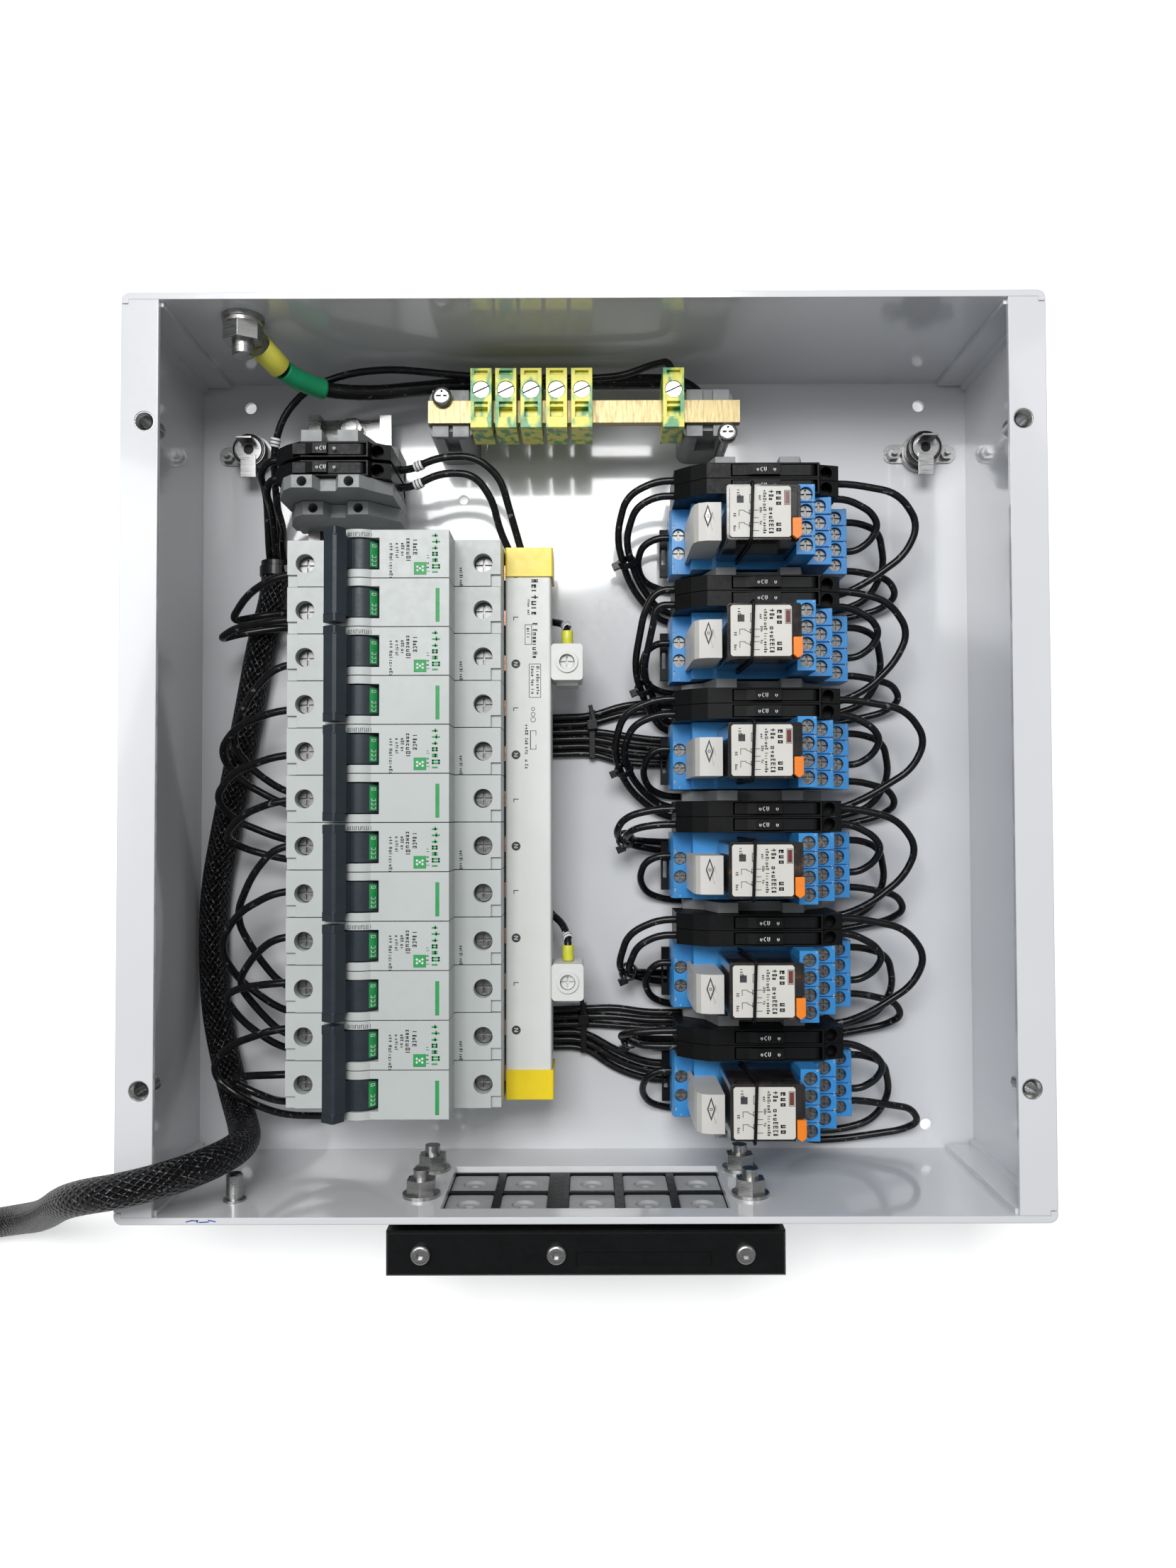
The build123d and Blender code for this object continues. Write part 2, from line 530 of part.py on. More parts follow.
# ---------------------------------------------------------------- rails
def rail(x, y_low, y_high):
    """Top-hat rail along Y, standing on its spacers."""
    base = SHEET + RAIL_SPACER
    half = RAIL_WIDTH / 2
    channel = RAIL_CHANNEL / 2
    inner = channel - RAIL_SHEET
    brim = RAIL_FACE - RAIL_SHEET
    right = [(channel, base), (channel, brim), (half, brim), (half, RAIL_FACE),
             (inner, RAIL_FACE), (inner, base + RAIL_SHEET)]
    left = [(-px, pz) for px, pz in reversed(right)]
    outline = [(x + px, pz) for px, pz in right + left]
    piece = slab(outline, y_low, y_high)
    for fx, fy in RAIL_FASTENERS:
        if fx == x:
            piece -= rod((fx, fy, base), (0, 0, 1), RAIL_STUD_DIAMETER / 2 + 0.3, RAIL_SHEET)
    return piece


def din_rails():
    """Terminal rail, breaker rail and relay rail."""
    relay_low = GROUP_Y[-1] - SOCKET_WIDTH / 2 - 12
    relay_high = GROUP_Y[0] + SOCKET_WIDTH / 2 + 2 * FUSE_PITCH + BRACKET_WIDTH + 8
    return [
        rail(TERMINAL_RAIL_X, *TERMINAL_RAIL_Y),
        rail(BREAKER_RAIL_X, STACK_BOTTOM - 4, STACK_TOP + 2),
        rail(RELAY_RAIL_X, relay_low, relay_high),
    ]


def rail_fasteners():
    """Spacer, stud and nut at each rail fixing."""
    pieces = []
    radius = RAIL_STUD_DIAMETER / 2
    web = SHEET + RAIL_SPACER + RAIL_SHEET
    for x, y in RAIL_FASTENERS:
        bore = rod((x, y, SHEET), (0, 0, 1), radius + 0.02, 20)
        pieces.append(rod((x, y, SHEET), (0, 0, 1), 5.0, RAIL_SPACER) - bore)
        pieces.append(rod((x, y, SHEET), (0, 0, 1), radius, web + 5.2 - SHEET))
        nut = rod((x, y, web), (0, 0, 1), 5.4, 0.6) + hexagon((x, y, web), (0, 0, 1), 8, 4)
        pieces.append(nut - bore)
    return pieces


# ---------------------------------------------------------------- breakers
def pole_y(index):
    """Middle of a pole, counted from the top."""
    return STACK_TOP - POLE_PITCH * (index + 0.5)


def breaker_casing(y):
    """Moulded casing of one pole."""
    x = BREAKER_RAIL_X
    nose_low = x + BREAKER_NOSE_OFFSET - BREAKER_NOSE / 2
    nose_high = nose_low + BREAKER_NOSE
    under = RAIL_FACE + BREAKER_UNDERCUT
    outline = [(BREAKER_RIGHT, under)] + rail_foot(x, under) + [
        (BREAKER_LEFT, under), (BREAKER_LEFT, SHOULDER_Z), (nose_low, SHOULDER_Z),
        (nose_low, NOSE_Z), (nose_high, NOSE_Z), (nose_high, SHOULDER_Z),
        (BREAKER_RIGHT, SHOULDER_Z),
    ]
    half = (POLE_PITCH - POLE_GAP) / 2
    casing = slab(outline, y - half, y + half)
    window = (TOGGLE_BARREL_WIDTH + 2 * TOGGLE_CLEARANCE) / 2
    pivot = (TOGGLE_X, y, TOGGLE_Z)
    casing += rod((TOGGLE_X, y - half, TOGGLE_Z), (0, 1, 0), RIB_RADIUS, 2 * half)
    bore = TOGGLE_BARREL_RADIUS + TOGGLE_CLEARANCE
    casing -= rod((TOGGLE_X, y - window, TOGGLE_Z), (0, 1, 0), bore, 2 * window)
    casing -= block(
        (TOGGLE_X - bore, y - window, TOGGLE_Z), (TOGGLE_X + bore, y + window, NOSE_Z + 3)
    )
    for side in (-1, 1):
        screw_x = x + side * TERMINAL_SCREW_OFFSET
        casing -= rod((screw_x, y, SHOULDER_Z), (0, 0, -1), TERMINAL_SCREW_HOLE / 2, 9)
        step = sorted((screw_x + side * 3, screw_x + side * (3 + 9)))
        casing -= block((step[0], y - half, SHOULDER_Z - 1.2), (step[1], y - half + 4.5, SHOULDER_Z + 1))
    casing -= rod((BREAKER_LEFT, y, BREAKER_WIRE_Z), (1, 0, 0), WIRE / 2 + 1, 7)
    tooth = BUSBAR_TOOTH
    casing -= block(
        (BREAKER_RIGHT - 9, y - tooth[0] / 2 - 0.5, BREAKER_WIRE_Z - tooth[1] / 2 - 0.3),
        (BREAKER_RIGHT, y + tooth[0] / 2 + 0.5, BREAKER_WIRE_Z + tooth[1] / 2 + 0.3),
    )
    return casing


def breaker_toggle(upper_pole):
    """Two barrels and the handle bar across them, tilted to the off position."""
    low, high = pole_y(upper_pole + 1), pole_y(upper_pole)
    half = TOGGLE_BARREL_WIDTH / 2
    bar_low, bar_high = TOGGLE_BAR_RADII
    outline = [(-TOGGLE_BAR / 2, bar_low), (-TOGGLE_BAR / 2, bar_high - 1),
               (-TOGGLE_BAR / 2 + 1, bar_high), (TOGGLE_BAR / 2 - 1, bar_high),
               (TOGGLE_BAR / 2, bar_high - 1), (TOGGLE_BAR / 2, bar_low)]
    toggle = slab(outline, low - half, high + half)
    for y in (low, high):
        toggle += rod((0, y - half, 0), (0, 1, 0), TOGGLE_BARREL_RADIUS, 2 * half)
        toggle += block((-TOGGLE_NECK / 2, y - half, 0), (TOGGLE_NECK / 2, y + half, bar_low + 1))
    return Pos(TOGGLE_X, 0, TOGGLE_Z) * (Rot(0, -TOGGLE_TILT, 0) * toggle)


def terminal_screws():
    """Clamp screws seen in the wells of the breakers and the relay sockets."""
    screws = []
    for pole in range(POLES):
        for side in (-1, 1):
            place = (BREAKER_RAIL_X + side * TERMINAL_SCREW_OFFSET, pole_y(pole), SHOULDER_Z - 9)
            screws.append(cross_screw(place, TERMINAL_SCREW_HOLE / 2 - 0.3, 4.0))
    for y in GROUP_Y:
        for x, offset, z in socket_screw_places():
            screws.append(cross_screw((x, y + offset, z - 6), SOCKET_SCREW_DIAMETER / 2 - 0.15, 4.4))
    return screws


def cross_screw(foot, radius, length):
    """Round screw head with a crossed slot, standing up from a well's floor."""
    x, y, z = foot
    head = rod(foot, (0, 0, 1), radius, length)
    slot = block((x - radius, y - 0.35, z + length - 0.8), (x + radius, y + 0.35, z + length))
    cross = block((x - 0.35, y - radius * 0.75, z + length - 0.8), (x + 0.35, y + radius * 0.75, z + length))
    return head - slot - cross


# ---------------------------------------------------------------- busbar
def busbar_cover():
    """White channel over the comb busbar, open towards the breakers."""
    low, high = STACK_BOTTOM + 1, STACK_TOP - 1
    cover = block((BUSBAR_X[0], low, BUSBAR_Z[0]), (BUSBAR_X[1], high, BUSBAR_Z[1]))
    cover = fillet(cover.edges().filter_by(Axis.Y), 1.0)
    cover -= block(
        (BUSBAR_X[0], low, BUSBAR_Z[0] + BUSBAR_WALL),
        (BUSBAR_X[1] - BUSBAR_WALL, high, BUSBAR_Z[1] - BUSBAR_WALL),
    )
    for y in CONNECTOR_Y:
        cover -= block((BUSBAR_X[1] - 3, y - 3.2, BREAKER_WIRE_Z - 1.8),
                       (BUSBAR_X[1], y + 3.2, BREAKER_WIRE_Z + 2))
    return cover


def busbar_end_caps():
    """Yellow caps pushed over both ends of the busbar cover."""
    caps = []
    cover = block((BUSBAR_X[0] - 1, STACK_BOTTOM + 1, BUSBAR_Z[0] - 0.02),
                  (BUSBAR_X[1] + 0.02, STACK_TOP - 1, BUSBAR_Z[1] + 0.02))
    for low, high in ((STACK_BOTTOM - 0.5, STACK_BOTTOM + 1 + BUSBAR_CAP),
                      (STACK_TOP - 1 - BUSBAR_CAP, STACK_TOP + 0.5)):
        cap = block((BUSBAR_X[0], low, BUSBAR_Z[0] - 0.8), (BUSBAR_X[1] + 0.8, high, BUSBAR_Z[1] + 0.8))
        caps.append(fillet(cap.edges().filter_by(Axis.Y), 0.7) - cover)
    return caps


def busbar_comb():
    """Two copper bars, each with a tooth into every second pole."""
    bars = []
    for phase in (0, 1):
        x = BUSBAR_X[0] + 4 + 6 * phase
        low, high = STACK_BOTTOM + 3, STACK_TOP - 3
        width, thick = BUSBAR_TOOTH
        z = BREAKER_WIRE_Z
        bar = block((x, low, z - 11), (x + 2, high, z + thick / 2))
        for pole in range(phase, POLES, 2):
            y = pole_y(pole)
            tooth_z = z - thick / 2
            bar += block((BREAKER_RIGHT - 8, y - width / 2, tooth_z), (x + 1, y + width / 2, tooth_z + thick))
        bars.append(bar)
    front, rear = bars
    for pole in range(1, POLES, 2):
        y = pole_y(pole)
        width = BUSBAR_TOOTH[0]
        front -= block((BUSBAR_X[0] + 3, y - width / 2 - 1, BREAKER_WIRE_Z - 1.5),
                       (BUSBAR_X[0] + 7, y + width / 2 + 1, BREAKER_WIRE_Z + 1.5))
    return [front, rear]


def connector_block(y):
    """One white feed connector: its low and high corners."""
    x = BUSBAR_X[1]
    half = CONNECTOR_SIZE[1] / 2
    return (x, y - half, BUSBAR_Z[0]), (x + CONNECTOR_SIZE[0], y + half, BUSBAR_Z[1])


def feed_connectors():
    """Two white feed connectors with a tongue into the busbar and a clamp screw each."""
    pieces = []
    for y in CONNECTOR_Y:
        low, high = connector_block(y)
        centre_x = (low[0] + high[0]) / 2
        body = fillet(block(low, high).edges().filter_by(Axis.Z), 1.5)
        body += rod((centre_x, y, high[2]), (0, 0, 1), 4.3, 0.8)
        body += block((low[0] - 2.8, y - 2.8, BREAKER_WIRE_Z - 1.2),
                      (low[0] + 1, y + 2.8, BREAKER_WIRE_Z + 1.2))
        body += block((low[0] + 2, low[1] - 1.5, low[2] + 2), (high[0] - 2, low[1] + 1, high[2] - 6))
        body -= rod((centre_x, y, high[2] + 0.8), (0, 0, -1), 3.0, 6)
        body -= rod((centre_x, high[1], FERRULE_Z), (0, -1, 0), 2.1, 6)
        pieces.append(body)
        pieces.append(cross_screw((centre_x, y, high[2] - 5.2), 2.8, 4.2))
    return pieces


# ---------------------------------------------------------------- relay column
def socket_screw_places():
    """(x, y offset, z) of each screw well of a socket."""
    places = []
    left = RELAY_X + RELAY_SIZE[0] / 2
    for right, z in SOCKET_STEPS:
        for row in (-1.5, -0.5, 0.5, 1.5):
            places.append(((left + right) / 2 + 0.3, row * SOCKET_SCREW_PITCH, z))
        left = right
    for row in (-0.3, 0.85):
        places.append(((SOCKET_X[0] + MODULE_X[0]) / 2 + 0.6, row * SOCKET_SCREW_PITCH - 2.8, SOCKET_COIL_Z))
    return places


def relay_socket(y):
    """Blue screw socket: coil side low, relay seat, then three steps of screws."""
    relay_right = RELAY_X + RELAY_SIZE[0] / 2 + 0.2
    outline = [(SOCKET_X[1], SOCKET_UNDERSIDE)] + rail_foot(RELAY_RAIL_X, SOCKET_UNDERSIDE) + [
        (SOCKET_X[0], SOCKET_UNDERSIDE), (SOCKET_X[0], SOCKET_COIL_Z - 3),
        (SOCKET_X[0] + 0.8, SOCKET_COIL_Z), (MODULE_X[0] + 2, SOCKET_COIL_Z),
        (MODULE_X[0] + 2, SOCKET_SEAT_Z), (relay_right, SOCKET_SEAT_Z),
        (relay_right, SOCKET_STEPS[0][1]),
    ]
    for index, (right, z) in enumerate(SOCKET_STEPS):
        outline += [(right, z)]
        if index + 1 < len(SOCKET_STEPS):
            outline += [(right, SOCKET_STEPS[index + 1][1])]
    half = SOCKET_WIDTH / 2
    socket = slab(outline, y - half, y + half)
    for x, offset, z in socket_screw_places():
        socket -= rod((x, y + offset, z), (0, 0, -1), SOCKET_SCREW_DIAMETER / 2, 6)
    left = relay_right
    for right, z in SOCKET_STEPS:
        for row in (-1, 0, 1):
            seam = y + row * SOCKET_SCREW_PITCH
            socket -= block((left + 1.2, seam - 0.25, z - 0.8), (right, seam + 0.25, z))
        left = right
    socket -= rod((SOCKET_X[0], y + COIL_WIRE[0], COIL_WIRE[1]), (1, 0, 0), THIN_WIRE / 2 + 0.4, 5)
    for offset, z in SOCKET_WIRES:
        socket -= rod((SOCKET_X[1], y + offset, z), (-1, 0, 0), THIN_WIRE / 2 + 0.4, 5)
    return socket


def relay(y):
    """Relay body with a raised label plate."""
    length, width, height = RELAY_SIZE
    top = SOCKET_SEAT_Z + height
    case = block((RELAY_X - length / 2, y - width / 2, SOCKET_SEAT_Z),
                 (RELAY_X + length / 2, y + width / 2, top - 0.6))
    case = fillet(case.edges().filter_by(Axis.Z), 1.2)
    plate = block((RELAY_X - 12.5, y - 9, top - 1), (RELAY_X + 12.5, y + 9, top))
    plate = chamfer(plate.edges().filter_by(Axis.Z), 0.8)
    well = block((BUTTON_X - 2.3, y + BUTTON_OFFSET_Y - 4.3, top - 4),
                 (BUTTON_X + 2.3, y + BUTTON_OFFSET_Y + 4.3, top))
    return case + plate - well


def test_button(y):
    """Spring-loaded test button at the relay's corner, with its stem."""
    top = SOCKET_SEAT_Z + RELAY_SIZE[2] + 0.9
    x, cy = BUTTON_X - 0.15, y + BUTTON_OFFSET_Y
    outline = [(x - 1.9, cy + 3.9), (x + 1.5, cy + 3.9), (x + 1.5, cy - 2.6), (x - 0.2, cy - 3.9),
               (x - 1.9, cy - 2.6)]
    face = make_face(Polyline(*[(px, py, top - 2.4) for px, py in outline], close=True))
    return extrude(face, amount=2.4, dir=(0, 0, 1))


def relay_module(y):
    """Plug-in indicator module beside the relay, rounded at its outer top edge."""
    low, high = MODULE_X
    half = MODULE_WIDTH / 2
    centre = y - 2
    outline = [(high, SOCKET_SEAT_Z), (high, MODULE_TOP), (low + 5, MODULE_TOP),
               (low + 2, MODULE_TOP - 1.2), (low + 0.5, MODULE_TOP - 4), (low, MODULE_TOP - 9),
               (low, SOCKET_COIL_Z + 0.4), (low + 1.6, SOCKET_COIL_Z + 0.4), (low + 1.6, SOCKET_SEAT_Z)]
    module = slab(outline, centre - half, centre + half)
    lamp_x = high - 3.4
    lamp = make_face(Polyline((lamp_x, centre + 3.6, MODULE_TOP), (lamp_x + 0.9, centre, MODULE_TOP),
                              (lamp_x, centre - 3.6, MODULE_TOP), (lamp_x - 0.9, centre, MODULE_TOP),
                              close=True))
    return module - extrude(lamp, amount=0.6, dir=(0, 0, -1))


def relay_clip(y):
    """Wire clip over the relay, hooked on the socket at both sides."""
    x = 62.0
    top = SOCKET_SEAT_Z + RELAY_SIZE[2] + 0.75
    out = RELAY_SIZE[1] / 2 + 0.8
    low = SOCKET_SEAT_Z + 0.65
    path = [(x - 1, y + out, low), (x, y + out, top - 8), (x + 0.4, y + out, top), (x, y, top + 0.15),
            (x - 0.4, y - out, top), (x, y - out, top - 8), (x - 1, y - out, low)]
    radii = [3.0, 1.2, 20.0, 1.2, 3.0]
    line = FilletPolyline(*path, radius=radii)
    return sweep(Plane(origin=line @ 0, z_dir=line % 0) * Circle(0.6), path=line)


def rail_clip(y):
    """Grey slide at the coil side that locks a socket on the rail."""
    clip = block((SOCKET_X[0] - 3.2, y - 11, SOCKET_UNDERSIDE - 3),
                 (SOCKET_X[0] + 9, y + 9, SOCKET_UNDERSIDE))
    return clip - block((SOCKET_X[0] - 2.4, y - 6, SOCKET_UNDERSIDE - 4),
                        (SOCKET_X[0] - 0.8, y + 1, SOCKET_UNDERSIDE))


# ---------------------------------------------------------------- fuse terminals
def fuse_terminal(x_low, x_high, rail_x, y, top, lever_x):
    """Black terminal body with a trough for its fuse lever; y is its lower face."""
    middle = top - 10
    outline = [(x_high, RAIL_FACE + 1)] + rail_foot(rail_x, RAIL_FACE + 1) + [
        (x_low, RAIL_FACE + 1), (x_low, middle), (x_low + 6, top - 4), (x_low + 12, top),
        (lever_x[1] + 1, top), (lever_x[1] + 2, top - 3), (x_high, top - 5),
    ]
    body = slab(outline, y, y + FUSE_WIDTH)
    wall = 0.6
    pivot_r = FUSE_LEVER_THICK / 2
    body -= block((lever_x[0] - 0.5, y + wall, top - FUSE_LEVER_THICK - 0.3),
                  (lever_x[1] - pivot_r, y + FUSE_WIDTH - wall, top + 1))
    pivot = (lever_x[1] - pivot_r, y + wall, top - pivot_r)
    body -= rod(pivot, (0, 1, 0), pivot_r + 0.3, FUSE_WIDTH - 2 * wall)
    body -= block(pivot, (lever_x[1] + 0.3, y + FUSE_WIDTH - wall, top + 1))
    body -= rod((x_high - 5, y + FUSE_WIDTH / 2, top - 2), (0, 0, -1), 2.4, 8)
    body -= rod((x_low, y + FUSE_WIDTH / 2, top - FUSE_LEFT_WIRE_DROP), (1, 0, 0), THIN_WIRE / 2 + 0.4, 5)
    for z in FUSE_RIGHT_WIRE_Z:
        body -= rod((x_high, y + FUSE_WIDTH / 2, z), (-1, 0, 0), THIN_WIRE / 2 + 0.4, 5)
    return body


def fuse_lever(y, top, lever_x):
    """Hinged fuse carrier lying in the terminal's trough, lifted by a lug at its free end."""
    thick = FUSE_LEVER_THICK
    radius = thick / 2
    low, high = y + 0.9, y + FUSE_WIDTH - 0.9
    pivot_x = lever_x[1] - radius
    bottom = top - thick
    outline = [(pivot_x, bottom), (pivot_x, top), (pivot_x - 12, top), (pivot_x - 12, top + 1.6),
               (lever_x[0] + 8, top + 1.6), (lever_x[0] + 5, top + 0.5), (lever_x[0], top + 0.5),
               (lever_x[0], bottom)]
    lever = slab(outline, low, high) + rod((pivot_x, low, top - radius), (0, 1, 0), radius, high - low)
    return lever


def end_bracket(x_low, x_high, rail_x, y, top, width):
    """Grey end bracket on a rail, with two posts."""
    outline = [(x_high, RAIL_FACE + 1)] + rail_foot(rail_x, RAIL_FACE + 1) + [
        (x_low, RAIL_FACE + 1), (x_low, top - 22), (x_low + 8, top - 15), (x_low + 12, top),
        (x_low + 20, top), (x_low + 20, top - 9), (x_high - 20, top - 9), (x_high - 20, top),
        (x_high - 12, top), (x_high - 8, top - 15), (x_high, top - 22),
    ]
    return slab(outline, y, y + width)


def group_fuse_y(group, position):
    """Lower face of a fuse terminal above the socket of a group."""
    return GROUP_Y[group] + SOCKET_WIDTH / 2 + 0.2 + FUSE_PITCH * position


# ---------------------------------------------------------------- terminal group


def feed_through_terminals():
    """Two grey feed-through terminals and every end bracket."""
    pieces = [end_bracket(*TERMINAL_X, TERMINAL_RAIL_X, TERMINAL_FUSE_Y[1] + FUSE_WIDTH + 0.2, 57, 4.6)]
    for y, width, top in ((103.0, 5.0, 60.0), (97.4, 5.4, 42.0)):
        x_low, x_high = TERMINAL_X
        outline = [(x_high, RAIL_FACE + 1)] + rail_foot(TERMINAL_RAIL_X, RAIL_FACE + 1) + [
            (x_low, RAIL_FACE + 1), (x_low, top - 18), (x_low + 5, top - 4), (x_low + 9, top),
            (x_low + 17, top), (x_low + 19, top - 5), (x_high - 21, top - 5), (x_high - 19, top),
            (x_high - 11, top), (x_high - 6, top - 6), (x_high, top - 12),
        ]
        terminal = slab(outline, y, y + width)
        for x in (x_low + 13, x_high - 15):
            terminal -= rod((x, y + width / 2, top), (0, 0, -1), 1.9, 8)
        terminal -= rod((x_low, y + width / 2, top - 20), (1, 0, 0), THIN_WIRE / 2 + 0.3, 5)
        pieces.append(terminal)
    for y in GROUP_Y:
        pieces.append(end_bracket(
            FUSE_X[0] + 4, FUSE_X[1] - 3, RELAY_RAIL_X, y + SOCKET_WIDTH / 2 + 0.2 + 2 * FUSE_PITCH,
            FUSE_TOP - 6, BRACKET_WIDTH,
        ))
    return pieces


def fuse_terminals():
    """Every fused terminal: two above each socket and two on the terminal rail."""
    pieces = []
    for group in range(GROUPS):
        for position in (0, 1):
            y = group_fuse_y(group, position)
            pieces.append(fuse_terminal(*FUSE_X, RELAY_RAIL_X, y, FUSE_TOP, FUSE_LEVER_X))
    for y in TERMINAL_FUSE_Y:
        pieces.append(fuse_terminal(*TERMINAL_X, TERMINAL_RAIL_X, y, TERMINAL_FUSE_TOP, TERMINAL_LEVER_X))
    return pieces


# ---------------------------------------------------------------- earth bar parts
def pe_fixing_bore(x, y):
    """Clearance for an earth bar fixing screw."""
    return rod((x, y, SHEET), (0, 0, 1), 2.1, PE_BAR_Z[1] - SHEET)


def pe_bar():
    """Flat brass earth bar."""
    bar = block((-PE_BAR_X, PE_BAR_Y[0], PE_BAR_Z[0]), (PE_BAR_X, PE_BAR_Y[1], PE_BAR_Z[1]))
    for x, y in PE_FIXINGS:
        bar -= pe_fixing_bore(x, y)
    return bar


def pe_supports():
    """Two grey insulating feet with posts each side of the bar."""
    feet = []
    for (low, high), (fx, fy) in zip(PE_SUPPORT_X, PE_FIXINGS):
        foot = block((low, PE_SUPPORT_Y[0], SHEET), (high, PE_SUPPORT_Y[1], PE_BAR_Z[0]))
        foot = fillet(foot.edges().filter_by(Axis.Z), 4)
        for x in (low + 1.5, high - 8):
            for y in (PE_SUPPORT_Y[0] + 0.3, PE_BAR_Y[1] + 0.3):
                foot += block((x, y, PE_BAR_Z[0]), (x + 6.5, y + 4.7, PE_BAR_Z[0] + 2))
        foot -= block((low + 6, PE_SUPPORT_Y[0] - 1, 20), (high - 6, PE_SUPPORT_Y[0] + 3, PE_BAR_Z[0]))
        foot -= pe_fixing_bore(fx, fy)
        feet.append(foot)
    return feet


def pe_terminals():
    """Six green-yellow clamp terminals threaded on the bar."""
    pieces = []
    low_y, high_y = PE_TERMINAL_Y
    low_z, high_z = PE_TERMINAL_Z
    for x in PE_TERMINAL_X:
        half = PE_TERMINAL_WIDTH / 2
        body = block((x - half, low_y, low_z), (x + half, high_y, high_z))
        body -= block((x - half, PE_BAR_Y[0] - 0.15, PE_BAR_Z[0] - 0.1),
                      (x + half, PE_BAR_Y[1] + 0.15, PE_BAR_Z[1] + 0.1))
        body -= rod((x, PE_SCREW_Y, high_z), (0, 0, -1), 3.4, 3.5)
        body -= block((x - 2.6, high_y - 2.6, high_z - 1.5), (x + 2.6, high_y - 1.0, high_z))
        body -= block((x - 2.6, PE_SCREW_Y - 6.3, high_z - 1.5), (x + 2.6, PE_SCREW_Y - 4.8, high_z))
        body -= block((x - 2.6, low_y + 4.2, high_z - 3), (x + 2.6, PE_SCREW_Y - 6.9, high_z))
        body -= rod((x, high_y, PE_WIRE_Z), (0, -1, 0), WIRE / 2 + 0.4, 5)
        pieces.append(body)
    return pieces


def pe_screws():
    """Slotted clamp screws of the earth terminals and the two pan-head fixings."""
    screws = []
    for x in PE_TERMINAL_X:
        head = rod((x, PE_SCREW_Y, PE_TERMINAL_Z[1] - 3.5), (0, 0, 1), 3.2, 3.2)
        slot = Pos(x, PE_SCREW_Y, PE_TERMINAL_Z[1] - 0.3) * (Rot(0, 0, 25) * Box(7, 0.8, 1.8))
        screws.append(head - slot)
    for x, y in PE_FIXINGS:
        head = rod((x, y, PE_BAR_Z[1]), (0, 0, 1), 4.0, 3.0)
        head = fillet(head.faces().sort_by(Axis.Z)[-1].edges(), 1.6)
        cross = Pos(x, y, PE_BAR_Z[1] + 2.6) * (Box(4.4, 0.8, 1.8) + Box(0.8, 4.4, 1.8))
        shank = rod((x, y, PE_BAR_Z[1]), (0, 0, -1), 1.9, PE_BAR_Z[1] - SHEET)
        screws.append(head + shank - cross)
    return screws


# ---------------------------------------------------------------- thermostats
def thermostats():
    """Two disc thermostats: flanged cup with black body and tabs, on two studs with nuts."""
    pieces = []
    for x, y in THERMOSTATS:
        reach = THERMOSTAT_HOLE_PITCH / 2
        base = (x, y, SHEET)
        disc = block((x - reach - 4, y - 4, SHEET), (x + reach + 4, y + 4, SHEET + 0.8))
        disc = fillet(disc.edges().filter_by(Axis.Z), 3.5) + rod(base, (0, 0, 1), 8.2, 3.5)
        disc += rod(base, (0, 0, 1), 7.0, 10.5)
        disc += block((x - 3.2, y + 2.5, SHEET + 10), (x + 3.2, y + 3.3, SHEET + 18))
        disc += block((x - 3.2, y - 12, SHEET + 10.5), (x + 3.2, y - 2.5, SHEET + 11.3))
        for stud in (-reach, reach):
            disc -= rod((x + stud, y, SHEET), (0, 0, 1), 1.6, 0.8)
            pieces.append(rod((x + stud, y, SHEET), (0, 0, 1), 1.5, 5.5))
            nut = hexagon((x + stud, y, SHEET + 0.8), (0, 0, 1), 5.5, 2.6)
            pieces.append(nut - rod((x + stud, y, SHEET), (0, 0, 1), 1.52, 6))
        pieces.append(disc)
    return pieces


# ---------------------------------------------------------------- wiring


def breaker_wire_points(pole):
    """Loop out of one pole, back under the casing, along a trunk and up under the relay column."""
    trunk = 0 if pole < POLES // 2 else 1
    slot = TRUNKS[trunk].index(pole)
    spread = (2.5 - slot) * TRUNK_PITCH
    reach, middle, end = BREAKER_LOOPS[pole]
    y = pole_y(pole)
    z = FLOOR_WIRE_Z
    tie_x, tie_y = TIE_PLACE[trunk]
    fan = FAN_Y[trunk][slot]
    turn_in, turn_z = (15, 31) if pole in LOW_LOOPS else (6, 20.5)
    upper = 0.6 * y + 0.4 * middle
    lower = 0.55 * middle + 0.45 * end
    return [
        (BREAKER_LEFT + 6, y, BREAKER_WIRE_Z), (BREAKER_LEFT - 9, y - 0.5, BREAKER_WIRE_Z),
        (reach + 9, upper, 35), (reach, middle, 28), (reach + turn_in, lower, turn_z),
        (BREAKER_LEFT - 12, end + 0.12 * (middle - end), 17), (BREAKER_LEFT + 4, end, 8),
        (BREAKER_LEFT + 18, end - 0.3, z), (-70, 0.5 * (end + TRUNK_Y[trunk] + spread), z),
        (-50, TRUNK_Y[trunk] + 1.5 * spread, z), (-28, TRUNK_Y[trunk] + spread + 0.2, z),
        (tie_x, tie_y + spread, z), (tie_x + 13, tie_y + 0.65 * spread + 0.55 * (fan - tie_y), z),
        (tie_x + 27, fan, z), (RISE_X, fan + 0.1, z), (RISE_X, fan, FAN_TOP[trunk][slot]),
    ]


